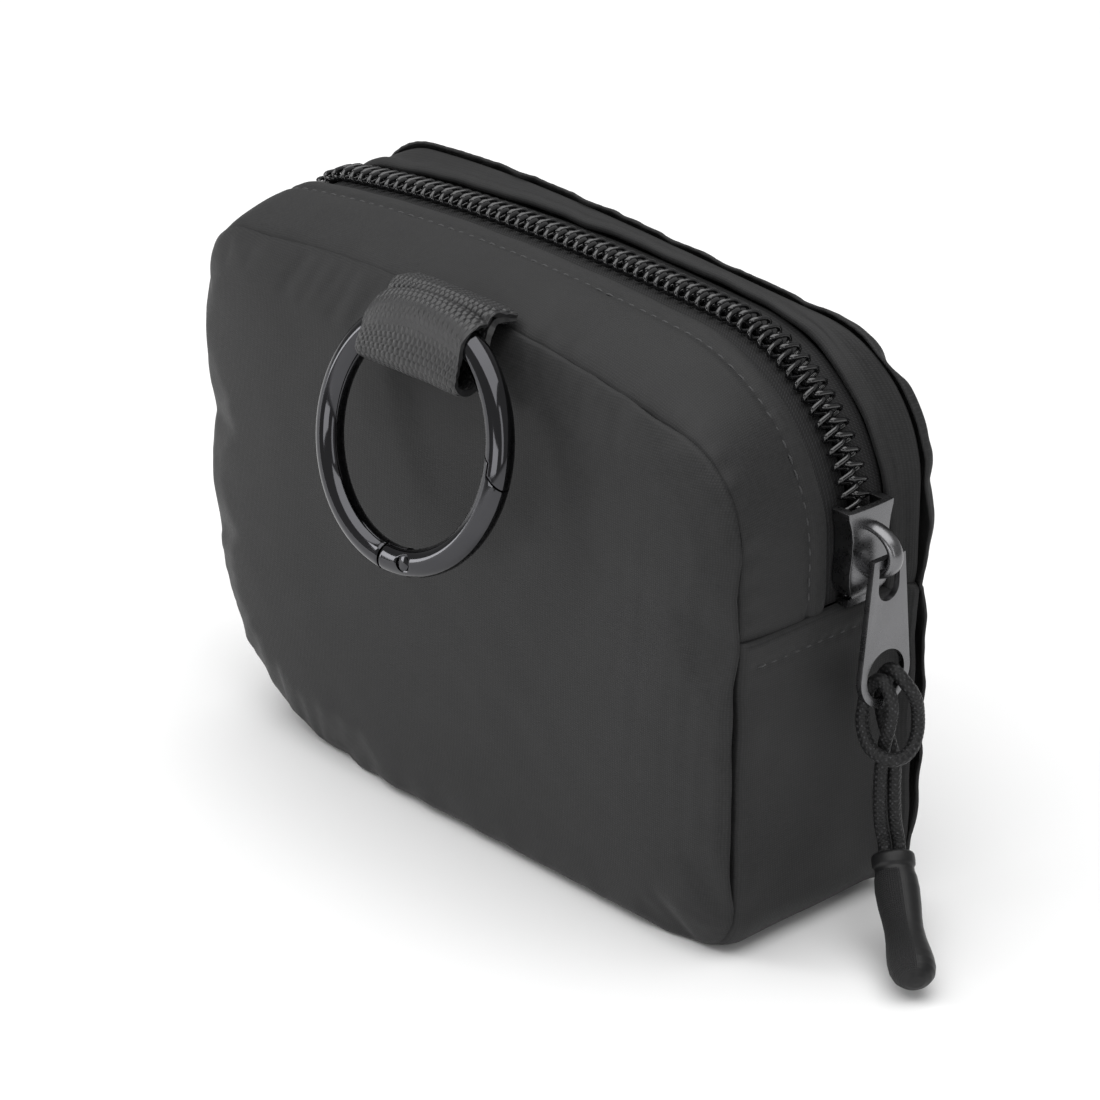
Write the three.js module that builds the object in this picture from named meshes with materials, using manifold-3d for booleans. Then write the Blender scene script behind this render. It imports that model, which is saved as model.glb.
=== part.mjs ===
// Hanging toiletry bag: a small zipped pouch with a webbing loop and a spring-gate ring.
// Millimetres, +Z up. X is the width, the front panel faces -Y, and the origin is the
// middle of the base, on the surface that the bag stands on.
import * as THREE from "three";
import { mergeVertices } from "three/addons/utils/BufferGeometryUtils.js";
import Module from "manifold-3d";

const wasm = await Module();
wasm.setup();

// ---------------------------------------------------------------- driving dimensions
const GAP = 0.3; // between pieces that touch
const CROSS_SEAM = 59; // height where the zip strips meet the lower gusset
const GUSSET = 19.2; // half the gusset's width, front seam to back seam
const GUSSET_FLAT = 15; // half the flat middle of the gusset
const SHELL = 1.2; // shell fabric with its backing
const LINING = 0.6;
const FOAM = 2;
const BULGE = 3.1; // how far each panel stands out past its seam
const PANEL_FLAT = 0.45; // share of a panel, from its middle, that is flat
const PANEL_FALL = 3.2; // how sharply a panel curves back to its seam
const PANEL_MIDDLE = 52; // height of a panel's middle

const ZIP_Y = 7.3; // the chain runs behind the middle of the gusset
const ZIP_HALF_OPENING = 7.3; // from the chain's middle to each folded fabric edge
const CHAIN_HALF = 3.5;
const CHAIN_SLOT = 0.5; // half the slot between the two coils
const COIL_PROUD = 1.3; // coil above the fabric
const TAPE_TOP = 1.5; // tape below the fabric
const TAPE = 0.6;
const TAPE_UNDER = 3; // how far the tape runs on under the fabric

const ZIP_SIDE = 67.5; // the zip's line at the right side
const ZIP_CORNER = 33; // radius of its corner there
const ZIP_SHOULDER = 69.5; // height where that corner starts

const SLIDER_LENGTH = 16;
const SLIDER_WIDTH = 10.7;
const SLIDER_PLATE = 1.2;
const BRIDGE_WIDTH = 3;
const BRIDGE_HALF = 4.2; // half the bridge's span, to the middle of its wire
const BRIDGE_WIRE = 1.6;
const BRIDGE_RISE = 5.7; // from the plate to the middle of the wire

const TAB_THICK = 1.2;
const TAB_PIVOT_Z = 69.1;
const TAB_BAR = 1.4;
const TAB_SLOT_HALF = 2.5;
const TAB_SLOT_DEEP = 6.4;
const TAB_ARM = 1.2;
const TAB_HOLE = 4.5; // radius
const TAB_HOLE_Z = 48.4;
const TAB_END = 5.9; // radius of the tab's round end

const CORD = 2.4;
const END_TOP = new THREE.Vector3(77.5, 7.8, 15.2);
const END_BEND = new THREE.Vector3(84.9, 2.4, 6); // control point of its curve
const END_FOOT = new THREE.Vector3(96.9, -6.8, 4.1);
const END_FLAT = 0.82; // its depth over its width

const RING_R = 21.25; // to the middle of the wire
const RING_WIRE = 2.5; // radius
const RING_X = 1.7;
const RING_Y = -33;
const RING_Z = 79.9;
const RING_TILT = 14.6; // degrees, top towards the bag
const GATE_TAIL = -91; // degrees round the ring, 0 at the right and 90 at the top
const GATE_PIVOT = -75;
const GATE_NOSE = 1;
const GATE_STEP = 1.6; // the nose's tongue past its shoulder
const PIVOT_PIN = 0.9;
const TONGUE_HALF = 0.8;
const TONGUE_R = 2.4;

const WEBBING_WIDTH = 25.4;
const WEBBING_X = -0.5;
const WEBBING = 1.3;
const WIRE_SLANT = 0.9; // room for the wire where it leaves the loop on a slant

const rad = THREE.MathUtils.degToRad;

// ---------------------------------------------------------------- materials
const finish = (color, roughness, metalness = 0) =>
  new THREE.MeshStandardMaterial({ color, roughness, metalness });
const FABRIC = finish(0x333335, 0.75);
const LINING_CLOTH = finish(0x26262a, 0.8);
const FOAM_SHEET = finish(0x4a4a4c, 0.95);
const BINDING = finish(0x1d1d1f, 0.85);
const TAPE_WEAVE = finish(0x161617, 0.85);
const COIL_NYLON = finish(0x0d0d0e, 0.3);
const GUNMETAL = finish(0x3a3b3e, 0.25, 1);
const BLACK_NICKEL = finish(0x1d1e21, 0.12, 1);
const SPRING_STEEL = finish(0x8a8c90, 0.3, 1);
const WEBBING_WEAVE = finish(0x1b1b1c, 0.8);
const CORD_BRAID = finish(0x111112, 0.8);
const SOFT_RUBBER = finish(0x1f1f20, 0.7);

const bag = new THREE.Group();
function add(name, geometry, material, parent = bag) {
  const mesh = new THREE.Mesh(geometry, material);
  mesh.name = name;
  parent.add(mesh);
  return mesh;
}

// ---------------------------------------------------------------- solids and booleans
function solid(geometry) {
  const bare = new THREE.BufferGeometry();
  bare.setAttribute("position", geometry.getAttribute("position"));
  if (geometry.index) bare.setIndex(geometry.index);
  const merged = mergeVertices(bare, 1e-4);
  return new wasm.Manifold(
    new wasm.Mesh({
      numProp: 3,
      vertProperties: new Float32Array(merged.attributes.position.array),
      triVerts: new Uint32Array(merged.index.array),
    }),
  );
}

function geometryOf(made) {
  const mesh = made.getMesh();
  const geometry = new THREE.BufferGeometry();
  geometry.setAttribute("position", new THREE.BufferAttribute(mesh.vertProperties, 3));
  geometry.setIndex(new THREE.BufferAttribute(mesh.triVerts, 1));
  return geometry;
}

const block = (x0, x1, y0, y1, z0, z1) =>
  new THREE.BoxGeometry(x1 - x0, y1 - y0, z1 - z0)
    .translate((x0 + x1) / 2, (y0 + y1) / 2, (z0 + z1) / 2);

// A shape in the XY plane, extruded half its height each way along Z.
const slab = (shape, half, curveSegments = 24) =>
  new THREE.ExtrudeGeometry(shape, { depth: 2 * half, bevelEnabled: false, curveSegments })
    .translate(0, 0, -half);

const disc = (x, y, radius) => new THREE.Shape().absarc(x, y, radius, 0, 2 * Math.PI);

// ---------------------------------------------------------------- the bag's outlines
// An outline in the X-Z plane. Each side of it is straight, half a width from the middle, with
// a round top corner that starts at its shoulder, a crown that leaves the corner at a slope,
// and a round bottom corner, its foot.
const FRONT_SEAM = {
  right: { half: 66.8, corner: 17, shoulder: 76, slope: 13, foot: 9 },
  left: { half: 70, corner: 10, shoulder: 87.5, slope: 7, foot: 36 },
  floor: 0.5,
};
const BACK_SEAM = {
  right: { half: 71.5, corner: 25, shoulder: 77.5, slope: 3, foot: 10 },
  left: { half: 69.5, corner: 18, shoulder: 88.5, slope: 4, foot: 36 },
  floor: 1,
};
const MIDDLE = {
  right: { half: ZIP_SIDE, corner: ZIP_CORNER, shoulder: ZIP_SHOULDER, slope: 5, foot: 8 },
  left: { half: 71, corner: 11, shoulder: 90.4, slope: 8, foot: 35 },
  floor: 0,
};

// From the right cross seam, up and over to the left one.
function upperLine({ right, left }, inset = 0) {
  const topOf = (side, sign) => {
    const lean = rad(90 - side.slope);
    const [middle, corner] = [side.half - side.corner, side.corner - inset];
    return {
      lean, corner, middle: sign * middle,
      end: new THREE.Vector2(
        sign * (middle + corner * Math.cos(lean)), side.shoulder + corner * Math.sin(lean)),
      run: new THREE.Vector2(-sign * Math.sin(lean), Math.cos(lean)),
    };
  };
  const [near, far] = [topOf(right, 1), topOf(left, -1)];
  const pull = near.end.distanceTo(far.end) / 3;
  const [rise, fall] = [near, far].map((top) => top.end.clone().addScaledVector(top.run, pull));
  return new THREE.Path()
    .moveTo(right.half - inset, CROSS_SEAM)
    .lineTo(right.half - inset, right.shoulder)
    .absarc(near.middle, right.shoulder, near.corner, 0, near.lean)
    .bezierCurveTo(rise.x, rise.y, fall.x, fall.y, far.end.x, far.end.y)
    .absarc(far.middle, left.shoulder, far.corner, Math.PI - far.lean, Math.PI)
    .lineTo(inset - left.half, CROSS_SEAM);
}

// From the left cross seam, down and under to the right one.
function lowerLine({ right, left, floor }, inset = 0) {
  return new THREE.Path()
    .moveTo(inset - left.half, CROSS_SEAM)
    .lineTo(inset - left.half, floor + left.foot)
    .absarc(left.foot - left.half, floor + left.foot, left.foot - inset, Math.PI, 1.5 * Math.PI)
    .lineTo(right.half - right.foot, floor + inset)
    .absarc(right.half - right.foot, floor + right.foot, right.foot - inset,
      1.5 * Math.PI, 2 * Math.PI)
    .lineTo(right.half - inset, CROSS_SEAM);
}

// Shares of a line's length at which it is cut into facets: so many for each of its parts.
function knots(line, steps) {
  const lengths = line.curves.map((part) => part.getLength()).filter((length) => length > 0.01);
  const whole = lengths.reduce((sum, length) => sum + length);
  const list = [0];
  lengths.forEach((length, part) => {
    const start = list[list.length - 1];
    for (let i = 1; i <= steps[part]; i++) list.push(start + (length * i) / steps[part] / whole);
  });
  list[list.length - 1] = 1;
  return list;
}
const UPPER_KNOTS = knots(upperLine(MIDDLE), [1, 11, 7, 5, 2]);
const LOWER_KNOTS = knots(lowerLine(MIDDLE), [1, 8, 1, 4, 1]);

// How much a place across the gusset follows the middle outline, from 0 at the seams.
function zipShare(y) {
  const past = Math.abs(y - ZIP_Y) - ZIP_HALF_OPENING;
  if (past <= 0) return 1;
  const room = GUSSET - ZIP_HALF_OPENING + (y < ZIP_Y ? ZIP_Y : -ZIP_Y);
  return 1 - (past / room) ** 2;
}
function gussetShare(y) {
  const past = Math.abs(y) - GUSSET_FLAT;
  return past <= 0 ? 1 : 1 - (past / (GUSSET - GUSSET_FLAT)) ** 2;
}

// A strip bent along the outlines: knots give its cuts along the line, depths its cuts
// from front to back, and insets how far its outer and inner faces lie inside the line.
function bent(lineOf, cuts, share, depths, insets) {
  const box = new THREE.BoxGeometry(1, 1, 1, cuts.length - 1, depths.length - 1, 1);
  const lines = insets.map((inset) => ({
    front: lineOf(FRONT_SEAM, inset), back: lineOf(BACK_SEAM, inset), middle: lineOf(MIDDLE, inset),
  }));
  const place = box.getAttribute("position");
  const pick = (list, value) => list[Math.round((value + 0.5) * (list.length - 1))];
  for (let i = 0; i < place.count; i++) {
    const u = pick(cuts, place.getX(i));
    const y = pick(depths, place.getY(i));
    const line = pick(lines, place.getZ(i));
    const seam = (y < ZIP_Y ? line.front : line.back).getPoint(u);
    const at = seam.lerp(line.middle.getPoint(u), share(y));
    place.setXYZ(i, at.x, y, at.y);
  }
  return box;
}

// Evenly spread cuts from one value to another.
const spread = (from, to, steps) =>
  Array.from({ length: steps + 1 }, (_, i) => from + ((to - from) * i) / steps);

// The cuts of a line between two shares of its length.
const between = (cuts, from, to) => [from, ...cuts.filter((u) => u > from + 0.004 && u < to - 0.004), to];

// ---------------------------------------------------------------- panels
// A body lofted through closed rings, from a first single point to a last one.
function loft(rings) {
  const points = [];
  const faces = [];
  const starts = rings.map((ring) => {
    points.push(...ring.flatMap((p) => [p.x, p.y, p.z]));
    return points.length / 3 - ring.length;
  });
  for (let level = 0; level + 1 < rings.length; level++) {
    const here = rings[level].length;
    const next = rings[level + 1].length;
    const count = Math.max(here, next);
    for (let i = 0; i < count; i++) {
      const j = (i + 1) % count;
      const [a, b] = [starts[level] + (i % here), starts[level] + (j % here)];
      const [c, d] = [starts[level + 1] + (i % next), starts[level + 1] + (j % next)];
      if (a !== b) faces.push(a, d, b);
      if (c !== d) faces.push(a, c, d);
    }
  }
  const geometry = new THREE.BufferGeometry();
  geometry.setAttribute("position", new THREE.Float32BufferAttribute(points, 3));
  geometry.setIndex(faces);
  return geometry;
}

function domeHeight(share) {
  if (share <= PANEL_FLAT) return BULGE;
  return BULGE * (1 - ((share - PANEL_FLAT) / (1 - PANEL_FLAT)) ** PANEL_FALL);
}

// One layer of a panel. side is -1 at the front and 1 at the back, near and far are the
// depths of its faces below the panel's outer face, and reach is its share of the panel.
function panelLayer(side, line, near, far, reach, shares) {
  const rim = [
    ...UPPER_KNOTS.slice(1).map((u) => upperLine(line).getPoint(u)),
    ...LOWER_KNOTS.slice(1).map((u) => lowerLine(line).getPoint(u)),
  ];
  const ringAt = (share, depth) => {
    const y = side * (GUSSET + GAP + SHELL + domeHeight(share) - depth);
    if (share === 0) return [new THREE.Vector3(0, y, PANEL_MIDDLE)];
    const ring = rim.map(
      (p) => new THREE.Vector3(share * p.x, y, PANEL_MIDDLE + share * (p.y - PANEL_MIDDLE)));
    return side < 0 ? ring : ring.reverse();
  };
  const levels = [0, ...shares.map((share) => share * reach)];
  return loft([
    ...levels.map((share) => ringAt(share, near)),
    ...levels.reverse().map((share) => ringAt(share, far)),
  ]);
}

const PANEL_SHARES = [PANEL_FLAT, 0.7, 0.86, 0.94, 1];
const LAYER_SHARES = [PANEL_FLAT, 0.8, 1];
const FOAM_TOP = SHELL + GAP;
const LINING_TOP = FOAM_TOP + FOAM + GAP;
const LAYER_REACH = 0.82; // share of the panel that the foam and lining cover, inside the binding
for (const [side, name, line] of [[-1, "front", FRONT_SEAM], [1, "back", BACK_SEAM]]) {
  add(`${name}_panel`, panelLayer(side, line, 0, SHELL, 1, PANEL_SHARES), FABRIC);
  add(`${name}_foam`,
    panelLayer(side, line, FOAM_TOP, FOAM_TOP + FOAM, LAYER_REACH, LAYER_SHARES), FOAM_SHEET);
  add(`${name}_lining`,
    panelLayer(side, line, LINING_TOP, LINING_TOP + LINING, LAYER_REACH, LAYER_SHARES), LINING_CLOTH);
}

// ---------------------------------------------------------------- gusset and seam binding
const HALF_GAP = 0.0008; // share of a line that keeps the cross seam's two sides apart
add("lower_gusset", bent(lowerLine, between(LOWER_KNOTS, HALF_GAP, 1 - HALF_GAP), gussetShare,
  [-GUSSET, -17, -GUSSET_FLAT, GUSSET_FLAT, 17, GUSSET], [0, SHELL]), FABRIC);
const LINED = 16; // half the width of the gusset's lining, between the seam bindings
add("gusset_lining", bent(lowerLine, between(LOWER_KNOTS, 0.01, 0.99), gussetShare,
  [-LINED, 0, LINED], [SHELL + GAP, SHELL + GAP + LINING]), LINING_CLOTH);

const ZIP_FRONT_EDGE = ZIP_Y - ZIP_HALF_OPENING;
const ZIP_BACK_EDGE = ZIP_Y + ZIP_HALF_OPENING;
const STRIP_CUTS = between(UPPER_KNOTS, HALF_GAP, 1 - HALF_GAP);
add("zip_strip_front", bent(upperLine, STRIP_CUTS, zipShare,
  spread(-GUSSET, ZIP_FRONT_EDGE, 4), [0, SHELL]), FABRIC);
add("zip_strip_back", bent(upperLine, STRIP_CUTS, zipShare,
  spread(ZIP_BACK_EDGE, GUSSET, 3), [0, SHELL]), FABRIC);

// The binding is a frame inside each seam: a closed outline with a smaller one cut out.
const BINDING_OUT = 4.4; // inside the gusset, which dips between its seams
const BINDING_WIDE = 1.2;
const BINDING_DEEP = 1.8;
function bindingFrame(line) {
  const outline = (inset) => [
    ...upperLine(line, inset).getSpacedPoints(44).slice(1),
    ...lowerLine(line, inset).getSpacedPoints(36).slice(1),
  ];
  const shape = new THREE.Shape(outline(BINDING_OUT));
  shape.holes.push(new THREE.Path(outline(BINDING_OUT + BINDING_WIDE)));
  return slab(shape, BINDING_DEEP / 2).rotateX(Math.PI / 2);
}
const BINDING_Y = GUSSET - GAP - BINDING_DEEP / 2;
add("seam_binding_front", bindingFrame(FRONT_SEAM).translate(0, -BINDING_Y, 0), BINDING);
add("seam_binding_back", bindingFrame(MIDDLE).translate(0, BINDING_Y, 0), BINDING);

// ---------------------------------------------------------------- zip
const TAPE_CUTS = between(UPPER_KNOTS, 0.002, 0.998);
const CHAIN_CUTS = between(UPPER_KNOTS, 0.012, 0.988);
const STOP_CUTS = [[0.003, 0.0095], [0.9905, 0.997]];
const COIL_FACES = [-COIL_PROUD, TAPE_TOP - GAP];
for (const [side, name] of [[-1, "front"], [1, "back"]]) {
  const across = (from, to) => [ZIP_Y + side * from, ZIP_Y + side * to].sort((a, b) => a - b);
  add(`zip_tape_${name}`, bent(upperLine, TAPE_CUTS, () => 1,
    across(CHAIN_SLOT, side < 0 ? ZIP_HALF_OPENING + TAPE_UNDER : ZIP_HALF_OPENING + 0.8),
    [TAPE_TOP, TAPE_TOP + TAPE]), TAPE_WEAVE);
  add(`zip_coil_${name}`, bent(upperLine, CHAIN_CUTS, () => 1,
    across(CHAIN_SLOT, CHAIN_HALF), COIL_FACES), COIL_NYLON);
}
STOP_CUTS.forEach((cuts, i) => {
  add(["zip_stop_right", "zip_stop_left"][i], bent(upperLine, cuts, () => 1,
    [ZIP_Y - CHAIN_HALF, ZIP_Y + CHAIN_HALF], COIL_FACES), GUNMETAL);
});

// ---------------------------------------------------------------- slider and pull tab
// The slider stands on the chain where the corner starts, closed, its bridge facing +X.
const PLATE_IN = ZIP_SIDE + COIL_PROUD + GAP;
const PLATE_OUT = PLATE_IN + SLIDER_PLATE;
const TAPE_OUTSIDE = ZIP_SIDE - TAPE_TOP;
const KEEL_OUT = TAPE_OUTSIDE - TAPE - 0.7;

// A shape drawn with X across the bag's depth and Y up, extruded towards +X.
const sideways = (geometry) => geometry.rotateZ(Math.PI / 2).rotateY(Math.PI / 2);

function sliderPlate() {
  const [half, length] = [SLIDER_WIDTH / 2, SLIDER_LENGTH / 2];
  const shape = new THREE.Shape()
    .moveTo(-half, length).lineTo(-half, 0)
    .quadraticCurveTo(-half, -length * 0.7, -half * 0.6, -length)
    .lineTo(half * 0.6, -length)
    .quadraticCurveTo(half, -length * 0.7, half, 0)
    .lineTo(half, length);
  return sideways(slab(shape, SLIDER_PLATE / 2, 6))
    .translate((PLATE_IN + PLATE_OUT) / 2, ZIP_Y, ZIP_SHOULDER);
}

function bridge() {
  const shape = new THREE.Shape();
  const outer = BRIDGE_HALF + BRIDGE_WIRE / 2;
  const inner = BRIDGE_HALF - BRIDGE_WIRE / 2;
  const foot = -0.4;
  const round = 2.2;
  shape.moveTo(foot, -outer)
    .lineTo(BRIDGE_RISE - round, -outer)
    .quadraticCurveTo(BRIDGE_RISE + BRIDGE_WIRE / 2, -outer, BRIDGE_RISE + BRIDGE_WIRE / 2, 0)
    .quadraticCurveTo(BRIDGE_RISE + BRIDGE_WIRE / 2, outer, BRIDGE_RISE - round, outer)
    .lineTo(foot, outer).lineTo(foot, inner)
    .lineTo(BRIDGE_RISE - round, inner)
    .quadraticCurveTo(BRIDGE_RISE - BRIDGE_WIRE / 2, inner, BRIDGE_RISE - BRIDGE_WIRE / 2, 0)
    .quadraticCurveTo(BRIDGE_RISE - BRIDGE_WIRE / 2, -inner, BRIDGE_RISE - round, -inner)
    .lineTo(foot, -inner);
  return slab(shape, BRIDGE_WIDTH / 2, 6).rotateX(Math.PI / 2)
    .translate(PLATE_OUT, ZIP_Y, TAB_PIVOT_Z + 0.9);
}

const flange = (y0, y1) =>
  block(TAPE_OUTSIDE + GAP, PLATE_IN + 0.2, y0, y1, ZIP_SHOULDER - 4, ZIP_SHOULDER + 7.4);
const keel = () =>
  block(KEEL_OUT - 1, KEEL_OUT, ZIP_Y - 4.5, ZIP_Y + 4.5, ZIP_SHOULDER - 5, ZIP_SHOULDER + 5);
const post = () =>
  block(KEEL_OUT - 0.2, PLATE_IN + 0.2, ZIP_Y - 0.22, ZIP_Y + 0.22,
    ZIP_SHOULDER - 5, ZIP_SHOULDER - 1.5);
const FLANGE_OUT = SLIDER_WIDTH / 2;
const FLANGE_IN = FLANGE_OUT - 1.1;
add("slider_body", geometryOf(
  [
    bridge(), keel(), post(),
    flange(ZIP_Y - FLANGE_OUT, ZIP_Y - FLANGE_IN), flange(ZIP_Y + FLANGE_IN, ZIP_Y + FLANGE_OUT),
  ].reduce((made, piece) => made.add(solid(piece)), solid(sliderPlate())),
), GUNMETAL);

// Drawn with X across the depth and Y up from the pivot bar's middle.
function pullTab() {
  const top = TAB_SLOT_HALF + TAB_ARM;
  const holeAt = TAB_HOLE_Z - TAB_PIVOT_Z;
  const shape = new THREE.Shape()
    .moveTo(top, TAB_BAR / 2 - 0.4)
    .lineTo(top - 0.4, TAB_BAR / 2)
    .lineTo(0.4 - top, TAB_BAR / 2)
    .lineTo(-top, TAB_BAR / 2 - 0.4)
    .lineTo(-top, -TAB_SLOT_DEEP * 0.7)
    .lineTo(-TAB_END, holeAt)
    .absarc(0, holeAt, TAB_END, Math.PI, 2 * Math.PI)
    .lineTo(top, -TAB_SLOT_DEEP * 0.7);
  const slotTop = -TAB_BAR / 2;
  const slotRound = -TAB_SLOT_DEEP - TAB_BAR / 2 + TAB_SLOT_HALF;
  shape.holes.push(
    new THREE.Path().moveTo(-TAB_SLOT_HALF, slotTop).lineTo(-TAB_SLOT_HALF, slotRound)
      .absarc(0, slotRound, TAB_SLOT_HALF, Math.PI, 2 * Math.PI)
      .lineTo(TAB_SLOT_HALF, slotTop),
    new THREE.Path().absarc(0, holeAt, TAB_HOLE, 0, 2 * Math.PI),
  );
  return sideways(slab(shape, TAB_THICK / 2, 12));
}
const TAB_X = PLATE_OUT + 3.9;
add("pull_tab", pullTab(), GUNMETAL).position.set(TAB_X, ZIP_Y, TAB_PIVOT_Z);

// ---------------------------------------------------------------- cord and moulded end
// One length, both ends in the moulded end, hitched through the tab's round hole.
const CORD_ROUTE = [
  [76.56, 6.94, 15.45], [75.6, 7.6, 17], [75.1, 7.3, 19.5], [74.9, 7.0, 22.5], [74.9, 6.8, 27],
  [75.0, 6.9, 31.5], [75.4, 7.0, 35.5], [76.3, 7.1, 39.5], [76.6, 7.1, 42.8], [75.9, 7.0, 45.7],
  [74.2, 6.7, 47.3], [72.4, 6.1, 45.6], [72.0, 5.2, 42], [72.7, 4.4, 38.6], [74.9, 4.1, 35.6],
  [77.6, 5.3, 34.1], [78.9, 7.6, 34.1], [79.0, 10.0, 35.3], [78.3, 11.9, 37.6],
  [78.0, 12.2, 40.4], [78.0, 11.5, 43.4], [76.9, 9.9, 46.7], [74.3, 9.3, 48.5],
  [72.3, 9.3, 46.4], [72.0, 9.4, 42.3], [72.8, 9.3, 38.6], [74.5, 9.3, 35], [75.7, 9.3, 31.5],
  [76.0, 9.2, 27], [76.2, 9.3, 22.5], [76.4, 9.6, 19.5], [77.0, 9.7, 17], [78.04, 8.95, 15.45],
].map((point) => new THREE.Vector3(...point));

function tube(curve, radius, sides, steps) {
  const section = new THREE.Shape(
    Array.from({ length: sides }, (_, i) => {
      const turn = (2 * Math.PI * i) / sides;
      return new THREE.Vector2(radius * Math.cos(turn), radius * Math.sin(turn));
    }),
  );
  return new THREE.ExtrudeGeometry(section, { extrudePath: curve, steps, bevelEnabled: false });
}
add("pull_cord", tube(new THREE.CatmullRomCurve3(CORD_ROUTE), CORD / 2, 8, 76), CORD_BRAID);

// The moulded end: half-width at each share of its length, wider than it is deep, and bent
// along a curve from the cord to its foot on the floor.
const END_PROFILE = [
  [0, 0], [3.6, 0], [4.1, 0.03], [4.0, 0.2], [3.4, 0.42], [3.4, 0.58], [4.0, 0.78], [3.8, 0.9],
  [2.6, 0.97], [0, 1],
];
function mouldedEnd() {
  const curve = new THREE.QuadraticBezierCurve3(END_TOP, END_BEND, END_FOOT);
  const body = new THREE.LatheGeometry(
    END_PROFILE.map(([radius, share]) => new THREE.Vector2(radius, share)), 16);
  const place = body.getAttribute("position");
  for (let i = 0; i < place.count; i++) {
    const share = place.getY(i);
    const run = curve.getTangentAt(share);
    const side = new THREE.Vector3(run.y, -run.x, 0).normalize();
    const up = new THREE.Vector3().crossVectors(side, run);
    const at = curve.getPointAt(share)
      .addScaledVector(side, place.getX(i))
      .addScaledVector(up, END_FLAT * place.getZ(i));
    place.setXYZ(i, at.x, at.y, at.z);
  }
  return body;
}
add("pull_end", mouldedEnd(), SOFT_RUBBER);

// ---------------------------------------------------------------- ring and spring gate
// Drawn in the XY plane round the ring's middle, then stood up facing -Y with its tilt.
const ring = new THREE.Group();
ring.position.set(RING_X, RING_Y, RING_Z);
ring.rotation.x = rad(90 - RING_TILT);
bag.add(ring);

const roundRing = (degrees, radius = RING_R) =>
  new THREE.Vector2(radius * Math.cos(rad(degrees)), radius * Math.sin(rad(degrees)));
function wedge(from, to) {
  const start = roundRing(from, 2 * RING_R);
  return new THREE.Shape().moveTo(0, 0).lineTo(start.x, start.y)
    .absarc(0, 0, 2 * RING_R, rad(from), rad(to));
}
const thick = (shape, half = 2 * RING_WIRE) => solid(slab(shape, half, 40));

const pivot = roundRing(GATE_PIVOT);
const noseReach = roundRing(GATE_NOSE).distanceTo(pivot);
// The part of the plane that the gate takes, grown by a gap. The nose ends on arcs about the
// pivot, so it swings in freely, and its inner half goes GATE_STEP further under the body.
function gateRegion(gap, tailGap) {
  const shoulder = thick(disc(pivot.x, pivot.y, noseReach - 0.5 + gap));
  const tongue = thick(disc(pivot.x, pivot.y, noseReach - 0.5 + GATE_STEP + gap))
    .intersect(thick(disc(0, 0, RING_R - 0.2 + gap)));
  const tail = GATE_TAIL - (180 / Math.PI) * (tailGap / RING_R);
  return thick(wedge(tail, GATE_NOSE + 18)).intersect(shoulder.add(tongue));
}

const wire = () => solid(new THREE.TorusGeometry(RING_R, RING_WIRE, 14, 64));
const pivotDisc = (radius, half) => thick(disc(pivot.x, pivot.y, radius), half);
const TAIL_GAP = 0.7;
const hingeTongue = wire().intersect(
  thick(wedge(GATE_TAIL - 4, GATE_PIVOT), TONGUE_HALF).add(pivotDisc(TONGUE_R, TONGUE_HALF)));
const pinHole = pivotDisc(PIVOT_PIN + GAP, 2 * RING_WIRE);
add("ring_body", geometryOf(
  wire().subtract(gateRegion(GAP, TAIL_GAP)).add(hingeTongue).subtract(pinHole),
), BLACK_NICKEL, ring);

const SPRING_R = 0.85;
const springFrom = roundRing(GATE_PIVOT + 8.2);
const springTo = roundRing(GATE_PIVOT + 26);
const springRun = springTo.clone().sub(springFrom);
const springTurn = springRun.angle() - Math.PI / 2;
function alongSpring(geometry) {
  return geometry.rotateZ(springTurn).translate(
    (springFrom.x + springTo.x) / 2, (springFrom.y + springTo.y) / 2, 0);
}
const springPocket = alongSpring(
  new THREE.CylinderGeometry(SPRING_R + 0.55, SPRING_R + 0.55, springRun.length(), 16));
const hingeSlot = thick(wedge(GATE_TAIL - 4, GATE_PIVOT), TONGUE_HALF + GAP)
  .add(pivotDisc(TONGUE_R + 0.9, TONGUE_HALF + GAP));
add("ring_gate", geometryOf(
  wire().intersect(gateRegion(0, 0)).subtract(hingeSlot).subtract(pinHole)
    .subtract(solid(springPocket)),
), BLACK_NICKEL, ring);

add("gate_rivet", new THREE.CylinderGeometry(PIVOT_PIN, PIVOT_PIN, 4.6, 16)
  .rotateX(Math.PI / 2).translate(pivot.x, pivot.y, 0), BLACK_NICKEL, ring);

class Helix extends THREE.Curve {
  constructor(radius, length, turns) {
    super();
    Object.assign(this, { radius, length, turns });
  }
  getPoint(t, target = new THREE.Vector3()) {
    const turn = 2 * Math.PI * this.turns * t;
    return target.set(
      this.radius * Math.cos(turn), (t - 0.5) * this.length, this.radius * Math.sin(turn));
  }
}
const SPRING_WIRE = 0.2;
const springCurve = new Helix(SPRING_R - SPRING_WIRE, springRun.length() - 1.2, 5);
add("gate_spring", alongSpring(tube(springCurve, SPRING_WIRE, 6, 50)), SPRING_STEEL, ring);

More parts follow.
